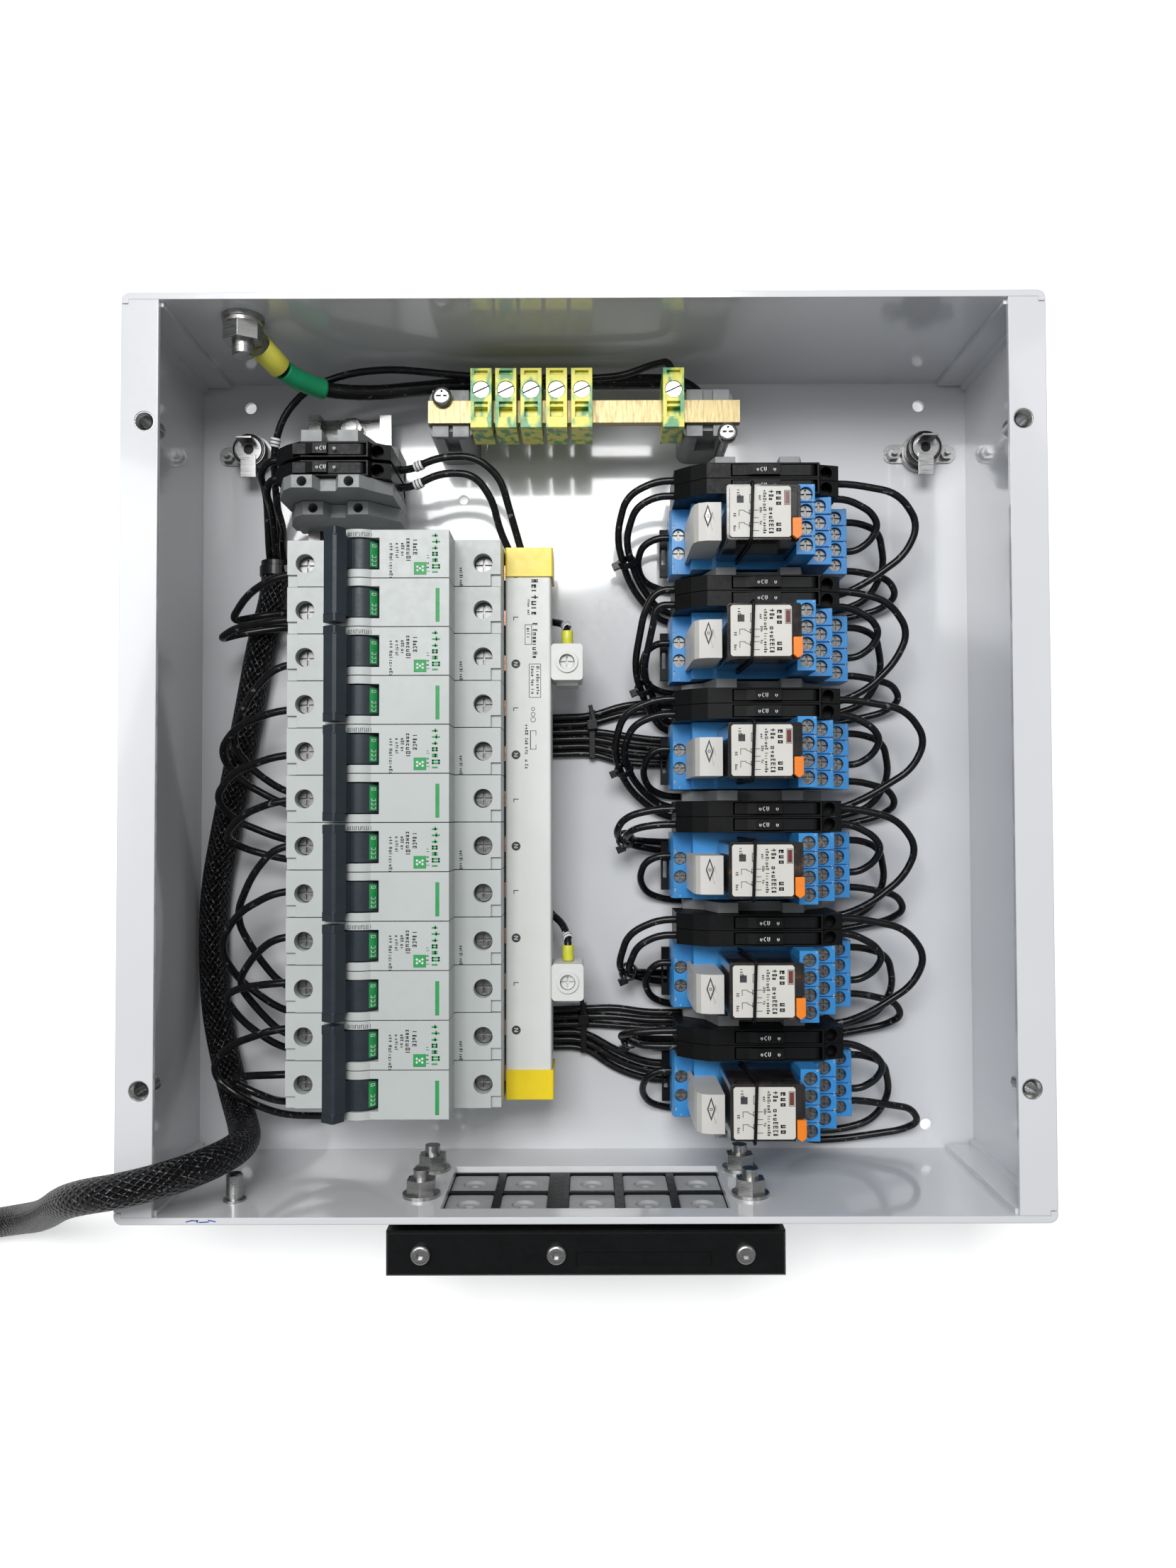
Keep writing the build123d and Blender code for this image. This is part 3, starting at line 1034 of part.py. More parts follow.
def feed_wire_points(group, position):
    """From a fuse terminal's left end, round to the right of the column, to the socket."""
    reach, middle, dive = FEED_LOOPS[group]
    centre = GROUP_Y[group]
    start_y = group_fuse_y(group, position) + FUSE_WIDTH / 2
    start_z = FUSE_TOP - FUSE_LEFT_WIRE_DROP
    outer = 1 - position
    reach_x = reach + 3.7 * outer
    dive_y = centre + dive - FEED_PITCH * (1 - outer)
    right_y = centre + FEED_RIGHT[1 - outer]
    end_offset, end_z = SOCKET_WIRES[1 - outer]
    reach_right = RIGHT_REACH[group][1 - outer]
    z = SHEET + THIN_WIRE / 2 + 0.3
    mid_y = centre + middle - 1.5 * outer
    return [
        (FUSE_X[0] + 5, start_y, start_z), (FUSE_X[0] - 7, start_y, start_z),
        (reach_x + 4, 0.72 * start_y + 0.28 * mid_y, start_z - 2), (reach_x, mid_y, start_z - 12),
        (reach_x + 6, 0.45 * mid_y + 0.55 * dive_y, 11), (33, dive_y + 0.4, z + 0.4), (49, dive_y, z),
        (70, 0.5 * (dive_y + right_y) + 0.4, z), (92, right_y, z), (107, right_y + 0.6, z + 0.6),
        (reach_right - 6, right_y + 5, 7), (reach_right, 0.5 * (right_y + centre + end_offset), 12.5),
        (reach_right - 4, centre + end_offset - 3.5, end_z - 1), (114, centre + end_offset, end_z),
        (SOCKET_X[1] - 4.4, centre + end_offset, end_z),
    ]


def coil_wire_points(group):
    """Small loop at the coil side of a socket, diving under the column."""
    y = GROUP_Y[group]
    z = SHEET + THIN_WIRE / 2 + 0.3
    reach = COIL_REACH[group]
    low = y - SOCKET_WIDTH / 2 - 2.8
    return [
        (SOCKET_X[0] + 5, y + COIL_WIRE[0], COIL_WIRE[1]), (SOCKET_X[0] - 5, y + COIL_WIRE[0], COIL_WIRE[1]),
        (reach + 2, y + 0.5, 18), (reach, y - 6, 13), (reach + 3, y - 12.5, 7.5), (34, low + 0.5, z + 0.2),
        (RISE_X, low, z), (RISE_X, low + 0.1, RAIL_FACE + 1),
    ]


def chain_wire_points(group):
    """Link from one group's upper fuse terminal to the next group's, round the right side."""
    start = group_fuse_y(group, 1) + FUSE_WIDTH / 2
    end = group_fuse_y(group + 1, 1) + FUSE_WIDTH / 2
    reach = RIGHT_REACH[group][2]
    high, low = FUSE_RIGHT_WIRE_Z
    return [
        (FUSE_X[1] - 5, start, high), (FUSE_X[1] + 8, start, high), (reach - 9, start - 4, high + 1),
        (reach, start - 16, 28.5), (reach - 5, start - 28, 26), (FUSE_X[1] + 16, end + 5, 24),
        (FUSE_X[1] + 5, end, low), (FUSE_X[1] - 5, end, low),
    ]


def contact_wire_points(group):
    """Short link from a group's lower fuse terminal to its socket."""
    start = group_fuse_y(group, 0) + FUSE_WIDTH / 2
    offset, z = SOCKET_WIRES[2]
    end = GROUP_Y[group] + offset
    return [
        (FUSE_X[1] - 5, start, FUSE_RIGHT_WIRE_Z[0]), (FUSE_X[1] + 7, start, FUSE_RIGHT_WIRE_Z[0]),
        (117, start - 5, 30), (120.5, 0.5 * (start + end), 28), (118, end + 4, 25.5), (112, end, z),
        (SOCKET_X[1] - 1.8, end, z),
    ]


def sleeve_feed_points(y, z, lean, mouth):
    """Wire from a terminal's left end down into the mouth of the sleeve."""
    x, my, mz = mouth
    return [
        (TERMINAL_X[0] + 5, y, z), (TERMINAL_X[0] - 4 + 0.3 * lean, y, z),
        (TERMINAL_X[0] - 9 + lean, y - 4, z - 5), (TERMINAL_X[0] - 10 + lean, y - 9, z - 18),
        (x + 0.4, my + 5, mz + 3), (x, my + 0.9, mz),
    ]


def wires():
    """Every wire inside the box, each along its whole route."""
    routes = [(breaker_wire_points(pole), WIRE) for pole in range(POLES)]
    for group in range(GROUPS):
        routes += [(feed_wire_points(group, position), THIN_WIRE) for position in (0, 1)]
        routes.append((coil_wire_points(group), THIN_WIRE))
        routes.append((contact_wire_points(group), THIN_WIRE))
        if group + 1 < GROUPS:
            routes.append((chain_wire_points(group), THIN_WIRE))
    mouth = LOOM_ROUTE[0]
    fuse_z = TERMINAL_FUSE_TOP - FUSE_LEFT_WIRE_DROP
    feeds = (
        (TERMINAL_FUSE_Y[1] + 3, fuse_z, 0, (mouth[0] - 2.6, mouth[1], mouth[2] + 1)),
        (TERMINAL_FUSE_Y[0] + 3, fuse_z, 2.5, (mouth[0] + 0.6, mouth[1], mouth[2] + 2.6)),
        (105.5, 40, 6, (mouth[0] + 3, mouth[1], mouth[2] - 0.4)),
    )
    routes += [(sleeve_feed_points(*feed), THIN_WIRE) for feed in feeds]
    earth_cable = (lug_place(LUG_BARREL[1] + 0.02), lug_place(LUG_BARREL[1] + 7)) + EARTH_CABLE_WAY
    routes += [
        (PE_WIRE_ROUTE, THIN_WIRE), (earth_cable, EARTH_CABLE),
        (SUPPLY_ROUTES[0], WIRE), (SUPPLY_ROUTES[1], WIRE),
    ]
    return [tube(points, diameter) for points, diameter in routes]


# ---------------------------------------------------------------- loom
def loom_connector():
    """Generic rectangular connector on the far end of the sleeve, lying on the floor."""
    x, y, z = LOOM_ROUTE[-1]
    length, width, height = CONNECTOR_BODY
    body = block((x - length, y - width / 2, z - 6.2), (x, y + width / 2, z - 6.2 + height))
    body = fillet(body.edges().filter_by(Axis.X), 2)
    body -= block((x - length, y - width / 2 + 2, z - 4.2),
                  (x - length + 12, y + width / 2 - 2, z - 8.2 + height))
    return body


def main():
    """Write every node."""
    os.makedirs("parts", exist_ok=True)
    right = side_panel()
    save("enclosure_wrap", enclosure_wrap())
    save("right_side_panel", right)
    save("left_side_panel", mirror(right, about=Plane.YZ))
    save("cover_rivet_nuts", *cover_rivet_nuts())
    save("cable_entry_frame", cable_entry_frame())
    save("cable_entry_clamp_bar", cable_entry_clamp_bar())
    save("cable_entry_grommets", *cable_entry_grommets())
    save("cable_entry_screws", *cable_entry_screws())
    save("cable_entry_bolts", *cable_entry_bolts())
    save("earth_studs", *earth_studs())
    save("earth_lug", earth_lug())
    save("din_rails", *din_rails())
    save("rail_fasteners", *rail_fasteners())
    save("pe_bar", pe_bar())
    save("pe_supports", *pe_supports())
    save("pe_terminals", *pe_terminals())
    save("pe_screws", *pe_screws())
    save("feed_through_terminals", *feed_through_terminals())
    save("breaker_casings", *[breaker_casing(pole_y(pole)) for pole in range(POLES)])
    save("terminal_screws", *terminal_screws())
    save("busbar_cover", busbar_cover())
    save("busbar_end_caps", *busbar_end_caps())
    save("busbar_comb", *busbar_comb())
    save("feed_connectors", *feed_connectors())
    save("relay_sockets", *[relay_socket(y) for y in GROUP_Y])
    save("relays", *[relay(y) for y in GROUP_Y])
    save("relay_modules", *[relay_module(y) for y in GROUP_Y])
    save("relay_clips", *[relay_clip(y) for y in GROUP_Y])
    save("rail_clips", *[rail_clip(y) for y in GROUP_Y])
    save("fuse_terminals", *fuse_terminals())
    save("thermostats", *thermostats())
    save("wires", *wires())
    save("loom_sleeve", tube(LOOM_ROUTE, LOOM))
    save("loom_connector", loom_connector())
    for breaker in range(POLES // 2):
        save(f"breaker_toggle_{breaker + 1}", breaker_toggle(2 * breaker))
    for index, y in enumerate(GROUP_Y):
        save(f"test_button_{index + 1}", test_button(y))
        for position in (0, 1):
            lever = fuse_lever(group_fuse_y(index, position), FUSE_TOP, FUSE_LEVER_X)
            save(f"fuse_lever_{2 * index + position + 1}", lever)
    for index, y in enumerate(TERMINAL_FUSE_Y):
        save(f"terminal_lever_{index + 1}", fuse_lever(y, TERMINAL_FUSE_TOP, TERMINAL_LEVER_X))
    print("loom radii", [round(radius, 1) for radius in corner_radii(LOOM_ROUTE)])


main()
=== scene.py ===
import bpy
import bmesh
import json
import math
import random
from mathutils import Matrix, Vector


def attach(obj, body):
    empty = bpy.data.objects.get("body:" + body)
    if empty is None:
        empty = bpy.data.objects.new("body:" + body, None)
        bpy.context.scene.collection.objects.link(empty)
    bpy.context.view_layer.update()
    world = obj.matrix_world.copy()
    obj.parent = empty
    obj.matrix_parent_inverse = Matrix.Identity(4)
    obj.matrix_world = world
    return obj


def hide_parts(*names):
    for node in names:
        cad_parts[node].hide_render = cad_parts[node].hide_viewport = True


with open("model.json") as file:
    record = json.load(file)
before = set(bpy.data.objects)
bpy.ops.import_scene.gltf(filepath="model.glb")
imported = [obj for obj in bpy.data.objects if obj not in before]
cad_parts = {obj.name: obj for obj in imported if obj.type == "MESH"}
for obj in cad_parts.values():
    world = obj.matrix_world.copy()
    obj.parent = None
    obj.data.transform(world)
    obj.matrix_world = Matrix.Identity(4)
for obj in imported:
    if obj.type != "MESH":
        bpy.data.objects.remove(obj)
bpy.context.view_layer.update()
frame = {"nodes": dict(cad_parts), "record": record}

MM = 0.001
ROOT = "cabinet"
GROUP_Y = [89.4 - 44.1 * g for g in range(6)]
POLE_Y = [74.0 - 18.0 * p for p in range(12)]
NOSE_Z = 75.0
SHOULDER_Z = 59.0
TOGGLE_PIVOT = (-83.0, 68.2)     # x and z of the toggles' hinge line
TOGGLE_TILT = math.radians(34)
RIB_PRINT_RADIUS = 8.31          # print on the casing's ribs beside a toggle
BAND_RADIUS = 7.31               # green band on a toggle's barrel
MARK_RADIUS = 7.37               # white marks on that band
PRINT_LIFT = 0.01                # print stands this far off its face
FRONT_Z = 85.0                   # front edge of the cabinet
SOCKET_FOOT_Z = 28.0


# ------------------------------------------------------------ materials
def new_material(name):
    """Empty node material with its shader and object coordinates."""
    mat = bpy.data.materials.new(name)
    mat.use_nodes = True
    tree = mat.node_tree
    shader = tree.nodes["Principled BSDF"]
    coords = tree.nodes.new("ShaderNodeTexCoord")
    return mat, tree, shader, coords.outputs["Object"]


def noise(tree, coords, scale, detail=3.0, rough=0.5):
    """Output of a noise texture at a scale per metre."""
    node = tree.nodes.new("ShaderNodeTexNoise")
    node.inputs["Scale"].default_value = scale
    node.inputs["Detail"].default_value = detail
    node.inputs["Roughness"].default_value = rough
    tree.links.new(coords, node.inputs["Vector"])
    return node.outputs["Fac"]


def ramp(tree, source, stops):
    """Colour ramp through (place, colour) stops."""
    node = tree.nodes.new("ShaderNodeValToRGB")
    elements = node.color_ramp.elements
    while len(elements) < len(stops):
        elements.new(0.5)
    for element, (place, colour) in zip(elements, stops):
        element.position = place
        element.color = (*colour, 1.0)
    tree.links.new(source, node.inputs["Fac"])
    return node.outputs["Color"]


def spread(tree, source, low, high):
    """The middle of a noise stretched over a range of values."""
    node = tree.nodes.new("ShaderNodeMapRange")
    node.inputs["From Min"].default_value = 0.3
    node.inputs["From Max"].default_value = 0.7
    node.inputs["To Min"].default_value = low
    node.inputs["To Max"].default_value = high
    tree.links.new(source, node.inputs["Value"])
    return node.outputs["Result"]


def bumped(tree, shader, source, strength, distance, edge=0.0):
    """Bump from a height, over edges rounded in shading when an edge radius is given."""
    bump = tree.nodes.new("ShaderNodeBump")
    bump.inputs["Strength"].default_value = strength
    bump.inputs["Distance"].default_value = distance
    tree.links.new(source, bump.inputs["Height"])
    if edge:
        bevel = tree.nodes.new("ShaderNodeBevel")
        bevel.samples = 4
        bevel.inputs["Radius"].default_value = edge
        tree.links.new(bevel.outputs["Normal"], bump.inputs["Normal"])
    tree.links.new(bump.outputs["Normal"], shader.inputs["Normal"])


def surface(name, colour, rough, vary=0.06, patch=60.0, grain=1500.0, bump=0.15,
            coat=0.0, edge=0.0003, deep=0.00005, shine=0.5):
    """Moulded or printed surface: mottled tone, uneven gloss and fine grain."""
    mat, tree, shader, coords = new_material(name)
    tone = noise(tree, coords, patch, 4.0)
    darker = tuple(c * (1 - vary) for c in colour)
    lighter = tuple(min(1.0, c * (1 + vary)) for c in colour)
    tree.links.new(ramp(tree, tone, [(0.3, darker), (0.7, lighter)]), shader.inputs["Base Color"])
    sheen = noise(tree, coords, patch * 6, 5.0, 0.6)
    tree.links.new(spread(tree, sheen, rough * 0.82, rough * 1.2), shader.inputs["Roughness"])
    shader.inputs["Specular IOR Level"].default_value = shine
    shader.inputs["Coat Weight"].default_value = coat
    shader.inputs["Coat Roughness"].default_value = 0.12
    bumped(tree, shader, noise(tree, coords, grain, 2.0), bump, deep, edge)
    return mat


def brushed(name, colour, rough, stretch=(1.0, 12.0, 1.0), vary=0.12, grain=900.0):
    """Plated or brushed metal with fine streaks along one axis."""
    mat, tree, shader, coords = new_material(name)
    mapping = tree.nodes.new("ShaderNodeMapping")
    mapping.inputs["Scale"].default_value = stretch
    tree.links.new(coords, mapping.inputs["Vector"])
    streak = noise(tree, mapping.outputs["Vector"], grain / 6, 6.0, 0.7)
    darker = tuple(c * (1 - vary) for c in colour)
    lighter = tuple(min(1.0, c * (1 + vary)) for c in colour)
    tree.links.new(ramp(tree, streak, [(0.3, darker), (0.7, lighter)]), shader.inputs["Base Color"])
    tree.links.new(spread(tree, streak, rough * 0.7, rough * 1.35), shader.inputs["Roughness"])
    shader.inputs["Metallic"].default_value = 1.0
    bumped(tree, shader, noise(tree, coords, grain, 3.0), 0.2, 0.00004, 0.0002)
    return mat


def painted_steel():
    """Glossy light paint with orange peel, faint dust and hairline scuffs."""
    mat, tree, shader, coords = new_material("painted_steel")
    tone = noise(tree, coords, 9.0, 4.0)
    base = ramp(tree, tone, [(0.3, (0.655, 0.665, 0.685)), (0.7, (0.70, 0.71, 0.73))])
    mapping = tree.nodes.new("ShaderNodeMapping")
    mapping.inputs["Scale"].default_value = (1.0, 14.0, 3.0)
    mapping.inputs["Rotation"].default_value = (0.2, 0.0, 0.7)
    tree.links.new(coords, mapping.inputs["Vector"])
    scratch = noise(tree, mapping.outputs["Vector"], 55.0, 8.0, 0.75)
    scuff = ramp(tree, scratch, [(0.69, (0, 0, 0)), (0.75, (0.5, 0.5, 0.5))])
    mix = tree.nodes.new("ShaderNodeMix")
    mix.data_type = "RGBA"
    tree.links.new(scuff, mix.inputs["Factor"])
    tree.links.new(base, mix.inputs[6])
    mix.inputs[7].default_value = (0.60, 0.605, 0.615, 1)
    tree.links.new(mix.outputs[2], shader.inputs["Base Color"])
    dust = noise(tree, coords, 420.0, 6.0, 0.7)
    tree.links.new(spread(tree, dust, 0.09, 0.17), shader.inputs["Roughness"])
    shader.inputs["Coat Weight"].default_value = 0.5
    shader.inputs["Coat Roughness"].default_value = 0.05
    bumped(tree, shader, noise(tree, coords, 380.0, 2.0), 0.12, 0.00006, 0.0006)
    return mat


def mottled_green_yellow():
    """Moulded green and yellow stripes running unevenly across a terminal."""
    mat, tree, shader, coords = new_material("green_yellow_plastic")
    mapping = tree.nodes.new("ShaderNodeMapping")
    mapping.inputs["Scale"].default_value = (1.2, 0.55, 0.8)
    tree.links.new(coords, mapping.inputs["Vector"])
    blotch = noise(tree, mapping.outputs["Vector"], 210.0, 2.0, 0.4)
    tone = ramp(tree, blotch, [(0.42, (0.07, 0.30, 0.10)), (0.47, (0.40, 0.52, 0.06)),
                               (0.53, (0.70, 0.66, 0.05))])
    tree.links.new(tone, shader.inputs["Base Color"])
    tree.links.new(spread(tree, noise(tree, coords, 600.0), 0.28, 0.42), shader.inputs["Roughness"])
    bumped(tree, shader, noise(tree, coords, 1400.0), 0.15, 0.00005, 0.0003)
    return mat


def braid():
    """Woven sleeve: two crossing sets of strands in UV space with pale flecks."""
    mat, tree, shader, coords = new_material("black_sleeve")
    uv = tree.nodes.new("ShaderNodeUVMap")
    uv.uv_map = "UVMap"
    strands = []
    for turn in (0.62, -0.62):
        mapping = tree.nodes.new("ShaderNodeMapping")
        mapping.inputs["Rotation"].default_value = (0, 0, turn)
        tree.links.new(uv.outputs["UV"], mapping.inputs["Vector"])
        wave = tree.nodes.new("ShaderNodeTexWave")
        wave.inputs["Scale"].default_value = 0.5
        wave.inputs["Distortion"].default_value = 0.5
        wave.inputs["Detail Scale"].default_value = 2.0
        tree.links.new(mapping.outputs["Vector"], wave.inputs["Vector"])
        strands.append(wave.outputs["Fac"])
    cross = tree.nodes.new("ShaderNodeMath")
    cross.operation = "MAXIMUM"
    tree.links.new(strands[0], cross.inputs[0])
    tree.links.new(strands[1], cross.inputs[1])
    fleck = noise(tree, coords, 900.0, 4.0, 0.8)
    add = tree.nodes.new("ShaderNodeMath")
    add.operation = "MULTIPLY"
    tree.links.new(cross.outputs[0], add.inputs[0])
    tree.links.new(fleck, add.inputs[1])
    tone = ramp(tree, add.outputs[0], [(0.30, (0.0015, 0.0015, 0.002)), (0.52, (0.006, 0.006, 0.007)),
                                       (0.60, (0.22, 0.225, 0.235))])
    tree.links.new(tone, shader.inputs["Base Color"])
    tree.links.new(spread(tree, fleck, 0.32, 0.55), shader.inputs["Roughness"])
    shader.inputs["Specular IOR Level"].default_value = 0.2
    bumped(tree, shader, cross.outputs[0], 1.0, 0.0009)
    return mat


def printed_wire():
    """Satin black insulation with faint broken pale printing."""
    mat, tree, shader, coords = new_material("black_wire")
    mapping = tree.nodes.new("ShaderNodeMapping")
    mapping.inputs["Scale"].default_value = (0.45, 0.45, 1.0)
    tree.links.new(coords, mapping.inputs["Vector"])
    mark = noise(tree, mapping.outputs["Vector"], 900.0, 2.0, 0.4)
    tone = ramp(tree, mark, [(0.30, (0.004, 0.004, 0.0045)), (0.66, (0.007, 0.007, 0.008)),
                             (0.73, (0.11, 0.11, 0.11))])
    tree.links.new(tone, shader.inputs["Base Color"])
    tree.links.new(spread(tree, noise(tree, coords, 300.0), 0.20, 0.32), shader.inputs["Roughness"])
    shader.inputs["Specular IOR Level"].default_value = 0.35
    bumped(tree, shader, noise(tree, coords, 700.0), 0.15, 0.00006)
    return mat


def smoked():
    """Dark translucent relay housing with warm glints of the coil inside."""
    mat, tree, shader, coords = new_material("smoked_plastic")
    inside = noise(tree, coords, 130.0, 3.0)
    tone = ramp(tree, inside, [(0.40, (0.011, 0.010, 0.010)), (0.60, (0.024, 0.018, 0.015)),
                               (0.70, (0.12, 0.055, 0.022))])
    tree.links.new(tone, shader.inputs["Base Color"])
    tree.links.new(spread(tree, noise(tree, coords, 500.0), 0.10, 0.2), shader.inputs["Roughness"])
    shader.inputs["Coat Weight"].default_value = 0.6
    bumped(tree, shader, noise(tree, coords, 500.0), 0.1, 0.00004, 0.0004)
    return mat


def pale_floor():
    """Matt white sweep, lit a little from within so the shadow on it stays faint."""
    mat, tree, shader, coords = new_material("pale_floor")
    tone = ramp(tree, noise(tree, coords, 6.0), [(0.3, (0.92, 0.92, 0.92)), (0.7, (0.94, 0.94, 0.94))])
    tree.links.new(tone, shader.inputs["Base Color"])
    shader.inputs["Roughness"].default_value = 0.85
    shader.inputs["Emission Color"].default_value = (1, 1, 1, 1)
    shader.inputs["Emission Strength"].default_value = 0.42
    return mat


MATS = {
    "painted_steel": painted_steel(),
    "zinc_steel": brushed("zinc_steel", (0.40, 0.40, 0.39), 0.28),
    "black_plastic": surface("black_plastic", (0.0042, 0.0045, 0.005), 0.42, 0.2, 90, shine=0.18),
    "grey_rubber": surface("grey_rubber", (0.38, 0.39, 0.40), 0.55, 0.1, 80, 900, 0.3),
    "tinned_copper": brushed("tinned_copper", (0.72, 0.70, 0.66), 0.3),
    "brass": brushed("brass", (0.31, 0.25, 0.135), 0.42, (8.0, 1.0, 1.0), 0.2),
    "grey_plastic": surface("grey_plastic", (0.235, 0.245, 0.25), 0.45, 0.08),
    "green_yellow_plastic": mottled_green_yellow(),
    "white_plastic": surface("white_plastic", (0.475, 0.505, 0.495), 0.42, 0.035, 45, 2600, 0.35),
    "yellow_plastic": surface("yellow_plastic", (0.83, 0.63, 0.015), 0.3, 0.05, 60),
    "copper": brushed("copper", (0.75, 0.42, 0.27), 0.25),
    "blue_plastic": surface("blue_plastic", (0.035, 0.26, 0.62), 0.34, 0.08, 70, 1800, 0.2),
    "smoked_plastic": smoked(),
    "warm_white_plastic": surface("warm_white_plastic", (0.60, 0.59, 0.56), 0.4, 0.04, 70, 1800, 0.2),
    "slate_plastic": surface("slate_plastic", (0.021, 0.030, 0.038), 0.40, 0.12, 120, 2400, 0.35, shine=0.35),
    "thermostat_metal": brushed("thermostat_metal", (0.38, 0.38, 0.38), 0.32),
    "black_wire": printed_wire(),
    "black_sleeve": braid(),
}
INK = surface("dark_ink", (0.035, 0.036, 0.04), 0.6, 0.2, 300)
GREEN_INK = surface("green_ink", (0.015, 0.30, 0.075), 0.5, 0.1, 300)
WHITE_INK = surface("white_ink", (0.74, 0.75, 0.76), 0.6, 0.08, 300)
CREAM = surface("cream_label", (0.62, 0.61, 0.57), 0.5, 0.03, 60, 1200, 0.08)
ORANGE = surface("orange_plastic", (0.85, 0.22, 0.015), 0.35, 0.08, 80)
FLAG = surface("flag_window", (0.16, 0.035, 0.03), 0.2, 0.2, 300, coat=0.6)
BLUE_INK = surface("blue_pen", (0.02, 0.07, 0.42), 0.6, 0.2, 500)
YELLOW_SLEEVE = surface("yellow_sleeve", (0.78, 0.74, 0.10), 0.4, 0.1, 90)
GREEN_SLEEVE = surface("green_sleeve", (0.012, 0.36, 0.15), 0.35, 0.12, 90)
FERRULE = surface("ferrule_yellow", (0.62, 0.62, 0.05), 0.35, 0.15, 150)
TIE = surface("tie_nylon", (0.005, 0.005, 0.006), 0.3, 0.2, 200, shine=0.35)

DARK_SCREW = brushed("dark_screw", (0.20, 0.20, 0.20), 0.36, (3.0, 3.0, 1.0), 0.3, 1500)
# Painted light: a lighter copy of white_plastic, its colour raised to make up for the shade on the low-lying
# busbar cover; the feed connectors share it.
BUSBAR_PAINTED_LIGHT = surface("busbar_white_painted_light", (0.66, 0.67, 0.65), 0.42, 0.035, 45, 2600, 0.35)
OWN_LOOK = {"terminal_screws": DARK_SCREW, "busbar_cover": BUSBAR_PAINTED_LIGHT, "feed_connectors": BUSBAR_PAINTED_LIGHT}
MATS["orange_plastic"] = ORANGE
for entry in frame["record"]["subparts"]:
    node = frame["nodes"][entry["node"]]
    node.data.materials.clear()
    node.data.materials.append(OWN_LOOK.get(entry["node"], MATS[entry["material_slot"]]))


